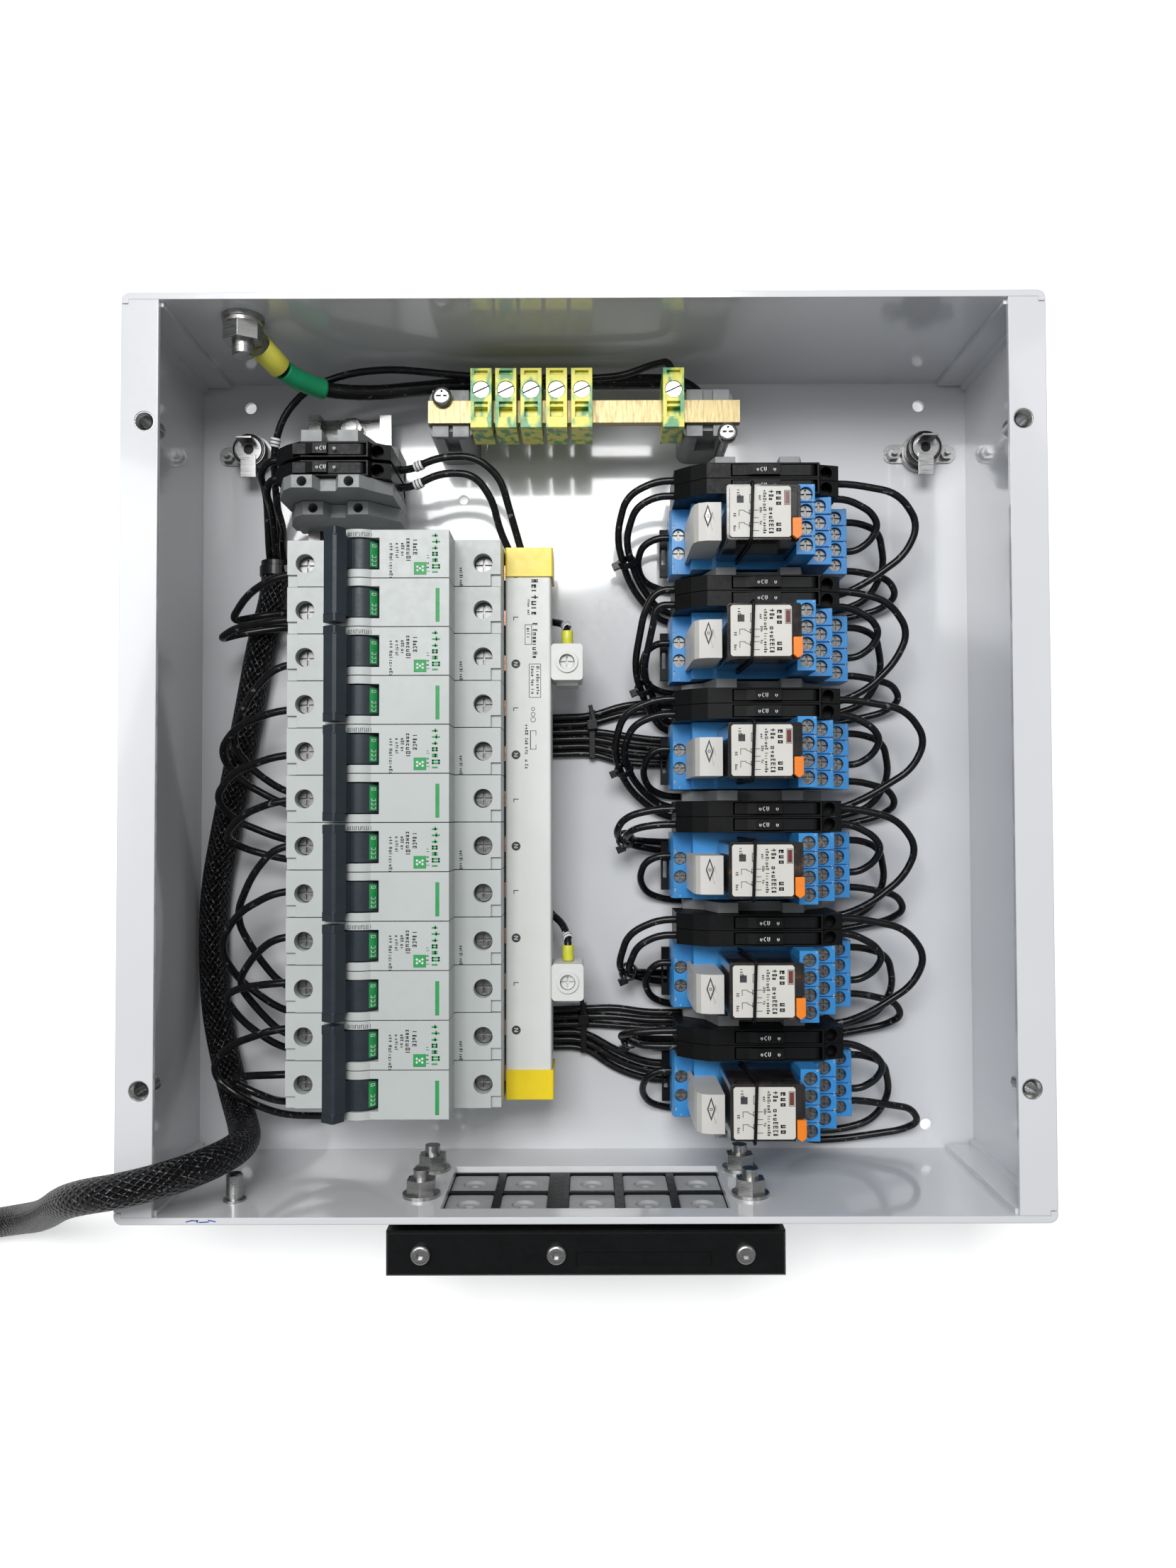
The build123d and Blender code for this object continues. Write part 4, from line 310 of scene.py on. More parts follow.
# ------------------------------------------------------------ mesh helpers
class Maker:
    """Collects small solids, in millimetres, into one mesh."""

    def __init__(self):
        self.bm = bmesh.new()

    def box(self, low, high, turn=0.0):
        """Box between two corners, turned about its own middle."""
        centre = Vector([(a + b) / 2 for a, b in zip(low, high)])
        size = Vector([b - a for a, b in zip(low, high)])
        matrix = Matrix.Translation(centre) @ Matrix.Rotation(turn, 4, "Z") @ Matrix.Diagonal((*size, 1))
        bmesh.ops.create_cube(self.bm, size=1.0, matrix=matrix)

    def plate(self, outline, z_low, z_high):
        """Flat plate from an outline of (x, y) points."""
        bottom = [self.bm.verts.new((x, y, z_low)) for x, y in outline]
        top = [self.bm.verts.new((x, y, z_high)) for x, y in outline]
        count = len(outline)
        self.bm.faces.new(list(reversed(bottom)))
        self.bm.faces.new(top)
        for i in range(count):
            j = (i + 1) % count
            self.bm.faces.new((bottom[i], bottom[j], top[j], top[i]))

    def prism(self, outline, y_low, y_high):
        """Closed prism along Y from an outline of points in the XZ plane."""
        near = [self.bm.verts.new((p.x, y_low, p.z)) for p in outline]
        far = [self.bm.verts.new((p.x, y_high, p.z)) for p in outline]
        self.bm.faces.new(near)
        self.bm.faces.new(list(reversed(far)))
        for i in range(len(outline)):
            j = (i + 1) % len(outline)
            self.bm.faces.new((near[i], far[i], far[j], near[j]))

    def ring(self, centre, axis, radius, thick, width, steps=24):
        """Band round an axis: radius to its inside, thick radially, width along the axis."""
        frame_of = Vector(axis).normalized().to_track_quat("Z", "Y").to_matrix().to_4x4()
        frame_of.translation = Vector(centre)
        loops = []
        for r, h in ((radius, -width / 2), (radius + thick, -width / 2), (radius + thick, width / 2),
                     (radius, width / 2)):
            loops.append([self.bm.verts.new(frame_of @ Vector((
                r * math.cos(math.tau * k / steps), r * math.sin(math.tau * k / steps), h)))
                for k in range(steps)])
        for a in range(4):
            b = (a + 1) % 4
            for k in range(steps):
                n = (k + 1) % steps
                self.bm.faces.new((loops[a][k], loops[a][n], loops[b][n], loops[b][k]))

    def arc_strip(self, centre, radius, thick, start, stop, y_low, y_high, steps=8):
        """Curved strip on a barrel along Y; angles from +Z towards +X in degrees."""
        rows = []
        for k in range(steps + 1):
            angle = math.radians(start + (stop - start) * k / steps)
            row = []
            for r in (radius, radius + thick):
                for y in (y_low, y_high):
                    row.append(self.bm.verts.new((
                        centre[0] + r * math.sin(angle), y, centre[1] + r * math.cos(angle))))
            rows.append(row)
        for a, b in zip(rows, rows[1:]):
            self.bm.faces.new((a[2], a[3], b[3], b[2]))
            self.bm.faces.new((a[0], b[0], b[1], a[1]))
            self.bm.faces.new((a[0], a[2], b[2], b[0]))
            self.bm.faces.new((a[1], b[1], b[3], a[3]))
        self.bm.faces.new((rows[0][0], rows[0][1], rows[0][3], rows[0][2]))
        self.bm.faces.new((rows[-1][0], rows[-1][2], rows[-1][3], rows[-1][1]))

    def print_line(self, x, y, z, length, height, along="y", thick=0.06, seed=0, blank=0.14):
        """A line of small stroke marks standing in for print; no letters."""
        rng = random.Random(seed)
        place = 0.0
        while place < length - 0.3 * height:
            cell = height * rng.uniform(0.45, 0.75)
            if rng.random() < blank:
                place += cell
                continue
            stroke = height * 0.2
            wide = cell * 0.85
            tall = height * rng.choice((1.0, 0.72, 0.72))
            left = (0, 0, stroke, tall)
            right = (wide - stroke, 0, wide, tall)
            foot = (0, 0, wide, stroke)
            head = (0, tall - stroke, wide, tall)
            waist = (0, tall * 0.46, wide, tall * 0.46 + stroke)
            marks = rng.choice(((left,), (left, right, head), (left, right, head, foot), (left, head, foot),
                                (left, head, waist, foot), (left, right, foot), (left, right, waist),
                                (waist, (wide * 0.4, 0, wide * 0.4 + stroke, tall))))
            for u0, v0, u1, v1 in marks:
                if along == "y":
                    low, high = (x + v0, y - place - u1, z), (x + v1, y - place - u0, z + thick)
                else:
                    low, high = (x + place + u0, y + v0, z), (x + place + u1, y + v1, z + thick)
                self.box(low, high)
            place += cell + height * 0.22

    def finish(self, name, material, body=ROOT, slot=None, bevel=0.0, smooth=False):
        """Turn what was collected into one object that rides on a body."""
        bmesh.ops.recalc_face_normals(self.bm, faces=self.bm.faces)
        bmesh.ops.scale(self.bm, vec=(MM, MM, MM), verts=self.bm.verts)
        mesh = bpy.data.meshes.new(name)
        self.bm.to_mesh(mesh)
        self.bm.free()
        mesh.materials.append(material)
        if smooth:
            mesh.shade_smooth()
        piece = bpy.data.objects.new(name, mesh)
        bpy.context.scene.collection.objects.link(piece)
        if bevel:
            mod = piece.modifiers.new("edges", "BEVEL")
            mod.width = bevel * MM
            mod.segments = 2
            mod.limit_method = "ANGLE"
        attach(piece, body)
        return piece


def spline_points(points, resolution=12):
    """Points along the smooth line of an open NURBS spline through a route."""
    curve = bpy.data.curves.new("route", "CURVE")
    curve.dimensions = "3D"
    curve.resolution_u = resolution
    spline = curve.splines.new("NURBS")
    spline.points.add(len(points) - 1)
    for point, place in zip(spline.points, points):
        point.co = (place[0] * MM, place[1] * MM, place[2] * MM, 1)
    spline.order_u = 3
    spline.use_endpoint_u = True
    helper = bpy.data.objects.new("route", curve)
    bpy.context.scene.collection.objects.link(helper)
    bpy.context.view_layer.update()
    depsgraph = bpy.context.evaluated_depsgraph_get()
    mesh = bpy.data.meshes.new_from_object(helper.evaluated_get(depsgraph), depsgraph=depsgraph)
    line = [vertex.co.copy() for vertex in mesh.vertices]
    bpy.data.objects.remove(helper)
    bpy.data.meshes.remove(mesh)
    return line


def sweep(name, line, radius, material, sides=20):
    """Closed tube with UVs: u runs to 12 round it, v grows by 1.9 a radius along it."""
    bm = bmesh.new()
    uv = bm.loops.layers.uv.new("UVMap")
    rings = []
    side = Vector((0, 0, 1))
    travel = [0.0]
    for a, b in zip(line, line[1:]):
        travel.append(travel[-1] + (b - a).length)
    for k, place in enumerate(line):
        ahead = (line[min(k + 1, len(line) - 1)] - line[max(k - 1, 0)]).normalized()
        side = (side - ahead * side.dot(ahead)).normalized()
        across = ahead.cross(side)
        rings.append([bm.verts.new(place + radius * (
            math.cos(math.tau * s / sides) * across + math.sin(math.tau * s / sides) * side))
            for s in range(sides)])
    for k in range(len(rings) - 1):
        for s in range(sides):
            n = (s + 1) % sides
            face = bm.faces.new((rings[k][s], rings[k][n], rings[k + 1][n], rings[k + 1][s]))
            face.smooth = True
            for loop, (u, v) in zip(face.loops, ((s, travel[k]), (s + 1, travel[k]),
                                                 (s + 1, travel[k + 1]), (s, travel[k + 1]))):
                loop[uv].uv = (u * 12.0 / sides, v / radius * 1.9)
    bm.faces.new(list(reversed(rings[0])))
    bm.faces.new(rings[-1])
    mesh = bpy.data.meshes.new(name)
    bmesh.ops.recalc_face_normals(bm, faces=bm.faces)
    bm.to_mesh(mesh)
    bm.free()
    mesh.materials.append(material)
    piece = bpy.data.objects.new(name, mesh)
    bpy.context.scene.collection.objects.link(piece)
    return piece


def lathe(name, centre, profile, material, steps=40):
    """Closed turned body about an upright axis, from (radius, height) points."""
    bm = bmesh.new()
    rings = []
    for r, z in profile:
        rings.append([bm.verts.new(((centre[0] + r * math.cos(math.tau * k / steps)) * MM,
                                    (centre[1] + r * math.sin(math.tau * k / steps)) * MM, z * MM))
                      for k in range(steps)])
    for a, b in zip(rings, rings[1:]):
        for k in range(steps):
            n = (k + 1) % steps
            bm.faces.new((a[k], a[n], b[n], b[k])).smooth = True
    bm.faces.new(list(reversed(rings[0])))
    bm.faces.new(rings[-1])
    bmesh.ops.recalc_face_normals(bm, faces=bm.faces)
    mesh = bpy.data.meshes.new(name)
    bm.to_mesh(mesh)
    bm.free()
    mesh.materials.append(material)
    piece = bpy.data.objects.new(name, mesh)
    bpy.context.scene.collection.objects.link(piece)
    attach(piece, ROOT)
    return piece


# ------------------------------------------------------------ camera, light, floor
camera_data = bpy.data.cameras.new("camera")
camera_data.lens = 26.0235
camera_data.sensor_width = 36
camera_data.clip_start = 0.01
camera = bpy.data.objects.new("camera", camera_data)
camera.matrix_world = (
    Matrix.Translation((0.00188, -0.02249, 0.48974)) @ Matrix.Rotation(-0.0028, 4, "Z")
    @ Matrix.Rotation(0.0016, 4, "Y") @ Matrix.Rotation(0.0275, 4, "X"))
bpy.context.scene.collection.objects.link(camera)
bpy.context.scene.camera = camera


def softbox(name, place, target, size, power):
    """Rectangular area light at a place, aimed at a target."""
    light = bpy.data.lights.new(name, "AREA")
    light.shape = "RECTANGLE"
    light.size, light.size_y = size
    light.energy = power
    holder = bpy.data.objects.new(name, light)
    holder.location = place
    holder.rotation_euler = (Vector(target) - Vector(place)).to_track_quat("-Z", "Y").to_euler()
    bpy.context.scene.collection.objects.link(holder)


softbox("key", (-0.15, 0.58, 1.42), (0, 0, 0), (0.8, 0.5), 17)
softbox("fill", (-0.9, 0.25, 1.2), (0, 0, 0), (0.6, 0.6), 4)
softbox("rim", (0.8, 0.35, 1.0), (0, 0, 0), (0.6, 0.4), 1)
world = bpy.data.worlds.new("studio")
world.use_nodes = True
world.node_tree.nodes["Background"].inputs["Color"].default_value = (0.96, 0.98, 1.0, 1)
world.node_tree.nodes["Background"].inputs["Strength"].default_value = 0.28
bpy.context.scene.world = world
bpy.context.scene.view_settings.view_transform = "Standard"

floor_mesh = bpy.data.meshes.new("floor")
reach = 4.0
floor_mesh.from_pydata([(-reach, -reach, -0.0002), (reach, -reach, -0.0002), (reach, reach, -0.0002),
                        (-reach, reach, -0.0002)], [], [(0, 1, 2, 3)])
floor_mesh.materials.append(pale_floor())
floor = bpy.data.objects.new("floor", floor_mesh)
bpy.context.scene.collection.objects.link(floor)

# ------------------------------------------------------------ sleeved loom
LOOM_ROUTE = (
    (-131.5, 86.0, 9.0), (-131.5, 73.0, 9.0), (-137.5, 52.0, 9.5), (-142.0, 27.0, 9.0),
    (-147.0, 0.0, 9.0), (-152.0, -26.0, 9.5), (-157.0, -54.0, 9.0), (-157.5, -80.0, 9.0),
    (-156.0, -104.0, 9.5), (-151.5, -124.0, 11.0), (-145.0, -140.0, 17.0), (-137.0, -147.0, 32.0),
    (-130.5, -147.2, 52.0), (-130.5, -146.0, 74.0), (-139.0, -146.5, 93.0), (-156.0, -149.5, 101.0),
    (-174.0, -153.5, 96.0), (-188.0, -161.0, 80.0), (-201.0, -170.5, 60.0), (-215.0, -179.5, 40.0),
    (-230.0, -187.0, 21.0), (-247.0, -193.0, 8.5), (-266.0, -196.5, 6.2), (-284.0, -196.5, 6.2),
)
loom_line = spline_points(LOOM_ROUTE)
loom = sweep("loom", loom_line, 0.006, MATS["black_sleeve"], 28)
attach(loom, ROOT)
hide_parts("loom_sleeve")

# ------------------------------------------------------------ breaker print
green = Maker()
dark = Maker()
pale = Maker()
for number in range(6):
    upper, lower = POLE_Y[2 * number], POLE_Y[2 * number + 1]
    columns = ((-71.6, 3.9, 13.0, 1.25), (-69.3, 3.9, 6.5, 1.15), (-67.3, 3.9, 5.0, 1.15),
               (-65.4, 5.6, 9.0, 1.6), (-62.9, 6.2, 7.0, 1.5))
    for index, (x, top, length, height) in enumerate(columns):
        dark.print_line(x, upper + top, NOSE_Z + PRINT_LIFT, length, height, seed=11 + index)
    green.print_line(-55.9, upper + 7.4, NOSE_Z + PRINT_LIFT, 15.4, 2.9, seed=3, blank=0)
    green.print_line(-57.9, upper - 0.6, NOSE_Z + PRINT_LIFT, 7.6, 1.1, seed=5)
    green.box((-62.6, upper - 7.8, NOSE_Z + PRINT_LIFT), (-58.0, upper - 3.2, NOSE_Z + 0.07))
    for dx, dy in ((-61.3, -4.9), (-59.3, -4.9), (-61.3, -6.2), (-59.3, -6.2), (-60.3, -5.5)):
        pale.box((dx - 0.38, upper + dy - 0.38, NOSE_Z + 0.08), (dx + 0.38, upper + dy + 0.38, NOSE_Z + 0.11),
                 math.radians(45))
    green.box((-54.6, lower - 7.2, NOSE_Z + PRINT_LIFT), (-53.2, lower + 5.2, NOSE_Z + 0.07))
    dark.print_line(-47.6, upper - 1.8, SHOULDER_Z + PRINT_LIFT, 8.4, 1.15, seed=21)
    rng = random.Random(31)
    angle = -26.0
    while angle < 50:
        step = rng.uniform(4.0, 7.5)
        dark.arc_strip(TOGGLE_PIVOT, RIB_PRINT_RADIUS, 0.05, angle, angle + 1.4, upper + 6.3, upper + 7.7, 1)
        if rng.random() < 0.7:
            edge = rng.choice((6.3, 7.5))
            dark.arc_strip(TOGGLE_PIVOT, RIB_PRINT_RADIUS, 0.05, angle, angle + step * 0.6,
                           upper + edge, upper + edge + 0.22, 1)
        angle += step
green.finish("breaker_green_print", GREEN_INK, slot="white_plastic")
pale.finish("breaker_pale_print", WHITE_INK, slot="white_plastic")
dark.finish("breaker_dark_print", INK, slot="white_plastic")

for number in range(6):
    band = Maker()
    word = Maker()
    for pole in (2 * number, 2 * number + 1):
        y = POLE_Y[pole]
        band.arc_strip(TOGGLE_PIVOT, BAND_RADIUS, 0.05, 34, 62, y - 4.6, y + 4.6)
        for offset in (3.3, -0.6, -2.1, -3.6):
            mid = y + offset
            strokes = [(40, 42.5, mid - 0.45, mid + 0.45, 1), (53, 55.5, mid - 0.45, mid + 0.45, 1),
                       (40, 55.5, mid - 0.5, mid - 0.28, 2)]
            if offset > 3:
                strokes.append((40, 55.5, mid + 0.28, mid + 0.5, 2))
            for stroke in strokes:
                word.arc_strip(TOGGLE_PIVOT, MARK_RADIUS, 0.04, *stroke)
    owner = f"breaker_toggle_{number + 1}"
    bar = Maker()
    way = Vector((-math.sin(TOGGLE_TILT), 0, math.cos(TOGGLE_TILT)))
    across = Vector((way.z, 0, -way.x))
    outline = [Vector((TOGGLE_PIVOT[0], 0, TOGGLE_PIVOT[1])) + way * r + across * w
               for r, w in ((11.2, -3.2), (11.2, 3.2), (16.4, 3.2), (16.9, 2.6), (16.9, -2.6), (16.4, -3.2))]
    middle = (POLE_Y[2 * number] + POLE_Y[2 * number + 1]) / 2
    for near, far in ((middle - 17.4, middle - 14.0), (middle + 14.0, middle + 17.4)):
        bar.prism(outline, near, far)
    bar.finish(f"toggle_bar_ends_{number + 1}", MATS["slate_plastic"], owner, "slate_plastic", bevel=0.25)
    band.finish(f"toggle_band_{number + 1}", GREEN_INK, owner, "slate_plastic")
    word.finish(f"toggle_mark_{number + 1}", WHITE_INK, owner, "slate_plastic")

# ------------------------------------------------------------ busbar print
marks = Maker()
pale = Maker()
COVER_Z = 43.0 + PRINT_LIFT
for pole, y in enumerate(POLE_Y):
    if pole % 2 == 0:
        disc = [(-27.2 + 1.75 * math.cos(math.tau * k / 24), y - 0.6 + 1.75 * math.sin(math.tau * k / 24))
                for k in range(24)]
        marks.plate(disc, COVER_Z, COVER_Z + 0.05)
        pale.box((-28.0, y - 1.35, COVER_Z + 0.06), (-26.4, y - 1.07, COVER_Z + 0.09))
        pale.box((-28.0, y - 0.13, COVER_Z + 0.06), (-26.4, y + 0.15, COVER_Z + 0.09))
        pale.box((-28.1, y - 0.74, COVER_Z + 0.06), (-26.3, y - 0.46, COVER_Z + 0.09), math.radians(36))
    else:
        marks.box((-28.2, y - 0.2, COVER_Z), (-26.2, y + 0.1, COVER_Z + 0.06))
        marks.box((-28.2, y - 1.3, COVER_Z), (-27.9, y + 0.1, COVER_Z + 0.06))
for x, top, length, height, seed in ((-21.0, 71.0, 15.0, 2.6, 41), (-22.6, 63.0, 7.0, 1.0, 43),
                                     (-20.6, 53.6, 14.0, 1.9, 45), (-22.9, 51.6, 4.5, 1.4, 47),
                                     (-19.1, 36.4, 11.0, 1.25, 49), (-21.2, 36.4, 11.5, 1.25, 51),
                                     (-23.6, 13.4, 17.5, 1.25, 53)):
    marks.print_line(x, top, COVER_Z, length, height, seed=seed)
for x0, y0, x1, y1 in ((-23.6, 45.0, -20.9, 53.0), (-22.0, 24.0, -17.3, 37.4)):
    for low, high in (((x0, y0), (x1, y0 + 0.2)), ((x0, y1 - 0.2), (x1, y1)), ((x0, y0), (x0 + 0.2, y1)),
                      ((x1 - 0.2, y0), (x1, y1))):
        marks.box((*low, COVER_Z), (*high, COVER_Z + 0.06))
for k in range(3):
    marks.ring((-20.4, 19.5 - 2.1 * k, COVER_Z + 0.03), (0, 0, 1), 0.55 + 0.15 * k, 0.2, 0.06, 12)
for x0, y0, x1, y1 in ((-21.6, 3.5, -21.3, 11.0), (-21.6, 10.8, -19.2, 11.0), (-21.6, 3.5, -19.2, 3.7),
                       (-19.4, 3.5, -19.2, 5.4), (-19.4, 9.1, -19.2, 11.0)):
    marks.box((x0, y0, COVER_Z), (x1, y1, COVER_Z + 0.06))
marks.finish("busbar_print", INK, slot="white_plastic")
pale.finish("busbar_pale_print", WHITE_INK, slot="white_plastic")

# ------------------------------------------------------------ relays, modules, sockets
LABEL_Z = 74.0 + PRINT_LIFT
label, ink, window, lens, lens_ink = Maker(), Maker(), Maker(), Maker(), Maker()
for group, y in enumerate(GROUP_Y):
    corner = 0.7
    outline = [(53.9 + corner, y - 9.5), (76.5 - corner, y - 9.5), (76.5, y - 9.5 + corner),
               (76.5, y + 9.5 - corner), (76.5 - corner, y + 9.5), (53.9 + corner, y + 9.5),
               (53.9, y + 9.5 - corner), (53.9, y - 9.5 + corner)]
    label.plate(outline, LABEL_Z, LABEL_Z + 0.1)
    top = LABEL_Z + 0.11
    ink.print_line(71.0, y + 7.6, top, 16.4, 2.5, seed=61)
    ink.print_line(68.3, y + 8.0, top, 16.8, 1.75, seed=62)
    ink.print_line(66.2, y + 8.0, top, 16.8, 1.2, seed=63)
    ink.print_line(56.6, y + 8.2, top, 3.6, 1.2, seed=64)
    ink.box((56.5, y + 3.3, top), (59.0, y + 5.9, top + 0.05))
    for x0, y0, x1, y1 in (
            (61.2, y + 3.2, 61.4, y + 6.4), (62.6, y + 3.2, 62.8, y + 6.4), (61.2, y + 6.2, 62.8, y + 6.4),
            (61.2, y + 3.2, 62.8, y + 3.4), (57.4, y + 0.4, 59.4, y + 0.6), (61.0, y + 0.4, 64.6, y + 0.6),
            (61.0, y - 1.2, 61.2, y + 0.6), (57.4, y - 4.2, 59.4, y - 4.0), (61.0, y - 4.2, 64.6, y - 4.0),
            (61.0, y - 5.8, 61.2, y - 4.0), (61.9, y - 2.4, 64.6, y - 2.2), (61.9, y - 7.2, 64.6, y - 7.0),
            (57.2, y - 1.6, 57.4, y + 0.6), (57.2, y - 6.4, 57.4, y - 4.0)):
        ink.box((x0, y0, top), (x1, y1, top + 0.05))
    for cy in (y - 0.4, y - 5.0):
        ink.box((59.0, cy, top), (61.6, cy + 0.2, top + 0.05), math.radians(-24))
    for cx, cy, seed in ((55.2, y - 0.6, 71), (55.2, y - 5.2, 72), (64.6, y + 6.0, 73), (64.9, y + 1.6, 74),
                         (64.9, y - 3.4, 75)):
        ink.print_line(cx, cy, top, 1.9, 0.95, seed=seed)
    for x0, y0, x1, y1 in ((74.0, y + 2.5, 76.2, y + 2.7), (74.0, y + 7.7, 76.2, y + 7.9),
                           (74.0, y + 2.5, 74.15, y + 7.9), (76.05, y + 2.5, 76.2, y + 7.9)):
        ink.box((x0, y0, top), (x1, y1, top + 0.05))
    window.box((74.3, y + 2.9, top), (75.9, y + 7.5, top + 0.06))
    cx, cz = 46.4, 68.02
    diamond = [(cx - 1.5, y), (cx, y - 4.4), (cx + 1.5, y), (cx, y + 4.4)]
    lens_ink.plate(diamond, cz, cz + 0.04)
    inner = [(cx - 1.05, y), (cx, y - 3.2), (cx + 1.05, y), (cx, y + 3.2)]
    lens.plate(inner, cz + 0.04, cz + 0.3)
    lens_ink.ring((cx, y, cz + 0.31), (0, 0, 1), 0.35, 0.22, 0.1, 16)
label.finish("relay_labels", CREAM, slot="smoked_plastic", bevel=0.05)
ink.finish("relay_print", INK, slot="smoked_plastic")
window.finish("relay_flags", FLAG, slot="smoked_plastic", bevel=0.03)
lens.finish("lamp_lenses", surface("lens", (0.62, 0.62, 0.60), 0.12, 0.05, 200, coat=0.8),
            slot="warm_white_plastic", bevel=0.1)
lens_ink.finish("lamp_outlines", INK, slot="warm_white_plastic")

STEPS = ((80.2, 87.6, 63.0), (87.6, 97.5, 45.5), (97.5, 107.5, 27.6))
digits = Maker()
for group, y in enumerate(GROUP_Y):
    for column, (left, right, z) in enumerate(STEPS):
        for row in (-1.5, -0.5, 0.5, 1.5):
            seed = 80 + column * 5 + int(row * 2 + 3)
            digits.print_line(right - 1.25, y + row * 6.5 + 3.9, z + PRINT_LIFT, 1.6, 0.85, seed=seed)
    digits.print_line(36.2, y + 6.9, SOCKET_FOOT_Z + PRINT_LIFT, 2.2, 1.1, seed=91)
    digits.print_line(36.2, y - 9.2, SOCKET_FOOT_Z + PRINT_LIFT, 2.2, 1.1, seed=92)
    digits.print_line(38.0, y - 12.2, SOCKET_FOOT_Z + PRINT_LIFT, 1.0, 1.0, seed=93)
digits.finish("socket_print", WHITE_INK, slot="blue_plastic")

# ------------------------------------------------------------ fused terminals
FUSE_COUNT = 12
TERMINAL_Y = (111.2, 118.5)
for number in range(FUSE_COUNT + len(TERMINAL_Y)):
    if number < FUSE_COUNT:
        group, place = divmod(number, 2)
        y = 106.0 - 44.1 * group + 6.2 * place
        x, z, owner = 67.3, 51.61, f"fuse_lever_{number + 1}"
    else:
        y = TERMINAL_Y[number - FUSE_COUNT]
        x, z, owner = -102.7, 59.61, f"terminal_lever_{number - FUSE_COUNT + 1}"
    rating = Maker()
    rating.print_line(x, y - 0.95, z, 8.0, 1.7, along="x", seed=101)
    rating.finish(f"lever_print_{number + 1}", WHITE_INK, owner, "black_plastic")

# ------------------------------------------------------------ ties, ferrules, markers, sleeves
ties = Maker()
FEED_LOOPS = ((13.0, 3.0, -26.0), (20.0, -8.0, -28.5), (11.5, 3.0, -21.0),
              (12.0, 12.5, 8.5), (13.0, 2.0, -3.0), (13.5, 18.5, 13.0))
for y, (left, middle, dive) in zip(GROUP_Y, FEED_LOOPS):
    start = Vector((left + 1.7, y + middle - 0.75, 24.0))
    stop = Vector((left + 7.7, y + 0.45 * middle + 0.55 * (dive - 2.1) - 0.3, 11.0))
    along = (stop - start).normalized()
    centre = start.lerp(stop, 0.5)
    ties.ring(centre, along, 3.15, 0.75, 2.6)
    side = along.cross(Vector((0, 0, 1))).normalized()
    knot = centre + side * 4.4
    ties.box(tuple(knot - Vector((1.9, 1.5, 1.4))), tuple(knot + Vector((1.9, 1.5, 1.4))), 0.4)
for x, y in ((3.0, 12.0), (-1.0, -112.8)):
    ties.box((x - 1.3, y - 10.2, 5.85), (x + 1.3, y + 10.2, 6.75))
    ties.box((x - 1.3, y - 10.4, 2.6), (x + 1.3, y - 9.55, 6.6))
    ties.box((x - 1.3, y + 9.55, 2.6), (x + 1.3, y + 10.4, 6.6))
    ties.box((x - 2.2, y + 2.0, 6.6), (x + 2.2, y + 6.0, 9.4), 0.1)
    ties.box((x - 0.9, y + 5.5, 7.4), (x + 0.9, y + 12.5, 8.3), 0.25)
ties.ring((-131.5, 81.5, 9.0), (0, 1, 0), 6.05, 0.9, 4.2, 32)
ties.box((-126.4, 79.8, 12.6), (-122.4, 83.4, 16.0), 0.2)
ties.ring((-131.5, 84.4, 9.0), (0, 1, 0), 6.0, 0.35, 3.0, 32)
ties.finish("cable_ties", TIE, slot="black_plastic", bevel=0.25)

collars = Maker()
collars.ring((-7.0, 48.9, 33.0), (0, 1, 0), 1.56, 0.75, 6.2)
collars.ring((-7.0, -77.6, 33.0), (0, 1, 0), 1.56, 0.75, 6.2)
collars.finish("ferrules", FERRULE, slot="yellow_plastic", bevel=0.15, smooth=True)
MARKERS = (                      # middle of each marker sleeve, and the wire's direction there
    ((-7.35, 54.2, 29.5), (-0.25, 0.5, -0.83)), ((-7.35, -71.6, 29.5), (-0.3, 0.5, -0.8)),
    ((-67.3, 119.8, 32.3), (0.92, 0.29, 0.26)), ((-67.5, 112.5, 31.9), (0.92, 0.33, 0.2)),
    ((-127.0, 131.0, 28.0), (0.2, 0.95, 0.2)),
)
tags = Maker()
for centre, axis in MARKERS:
    tags.ring(centre, axis, 1.62, 0.42, 3.6)
tags.finish("wire_markers", WHITE_INK, slot="white_plastic", bevel=0.1, smooth=True)
tag_ink = Maker()
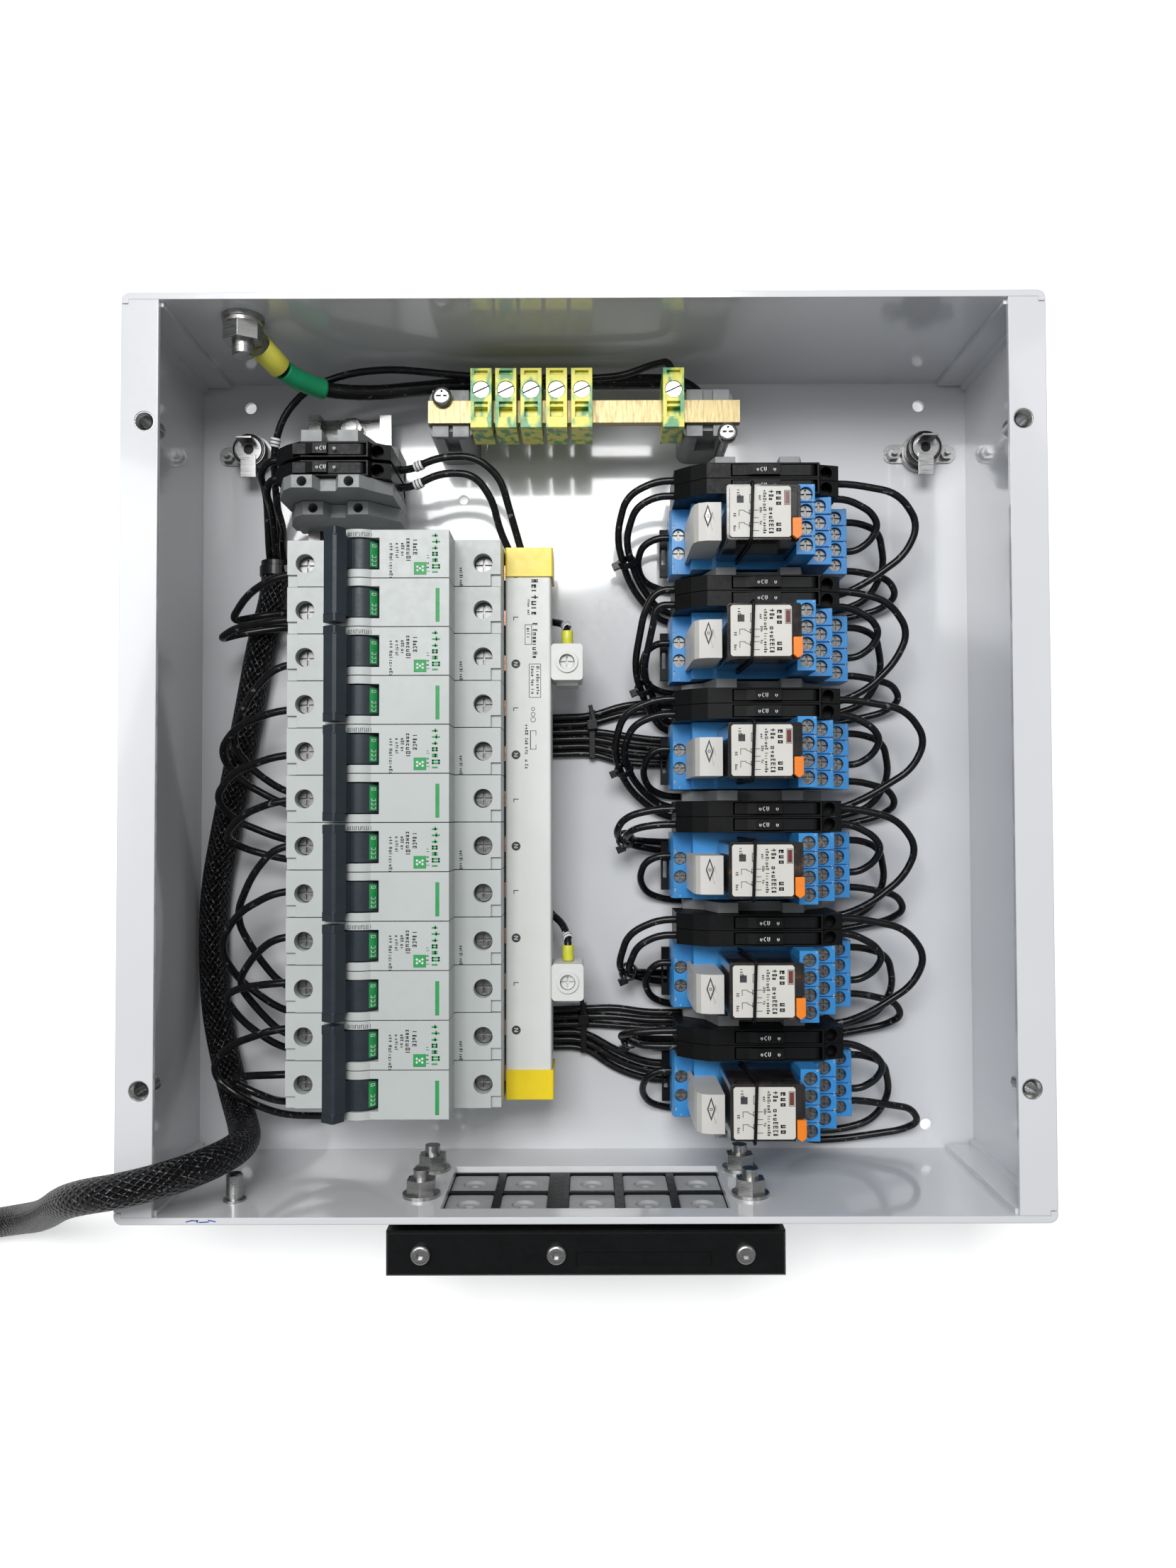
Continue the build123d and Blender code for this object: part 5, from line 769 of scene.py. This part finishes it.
for centre, axis in MARKERS:
    way = Vector(axis).normalized()
    for shift in (-0.7, 0.7):
        tag_ink.ring(Vector(centre) + way * shift, axis, 1.99, 0.09, 0.4)
tag_ink.finish("marker_bands", INK, slot="white_plastic")

LUG_WAY = Vector((0.42, -0.35, -0.837))
LUG_BASE = Vector((-127.5, 160.0, 70.0))
BARREL_END = 19                  # how far the lug's barrel reaches along LUG_WAY
EARTH_ROUTE = (
    tuple(LUG_BASE + LUG_WAY * BARREL_END), tuple(LUG_BASE + LUG_WAY * (BARREL_END + 7)),
    (-106.0, 150.6, 33.0), (-88.0, 151.8, 26.5), (-66.0, 155.2, 23.0),
)
earth_line = spline_points(EARTH_ROUTE, 16)
first, last = int(len(earth_line) * 0.10), int(len(earth_line) * 0.50)
green_sleeve = sweep("green_sleeve", earth_line[first:last], 0.0040, GREEN_SLEEVE, 24)
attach(green_sleeve, ROOT)
yellow = Maker()
yellow.ring(LUG_BASE + LUG_WAY * 15.5, LUG_WAY, 4.25, 0.4, 11.5, 28)
yellow.finish("yellow_sleeve", YELLOW_SLEEVE, slot="yellow_plastic", bevel=0.2, smooth=True)

# ------------------------------------------------------------ thermostat bodies and pen mark
BAKELITE = surface("thermostat_black", (0.006, 0.006, 0.007), 0.3, 0.2, 160, coat=0.3, shine=0.3)
CAP = ((7.05, 6.1), (7.15, 6.4), (7.15, 12.6), (6.7, 13.1), (5.6, 13.15), (5.3, 12.95), (2.2, 12.95),
       (2.0, 13.12))
lathe("thermostat_cap_right", (144.7, 133.3), CAP, BAKELITE)
lathe("thermostat_cap_left", (-142.5, 133.1), CAP, BAKELITE)

pen = Maker()
for x0, y0, x1, y1, turn in ((-141.5, -165.9, -139.2, -165.5, 0.25), (-139.6, -165.7, -137.0, -165.3, -0.1),
                             (-137.6, -166.3, -137.2, -165.2, 0.1), (-136.8, -166.2, -133.2, -165.8, 0.05),
                             (-133.6, -165.8, -130.8, -165.4, -0.2)):
    pen.box((x0, y0, FRONT_Z), (x1, y1, FRONT_Z + PRINT_LIFT), turn)
pen.finish("pen_mark", BLUE_INK, slot="painted_steel")
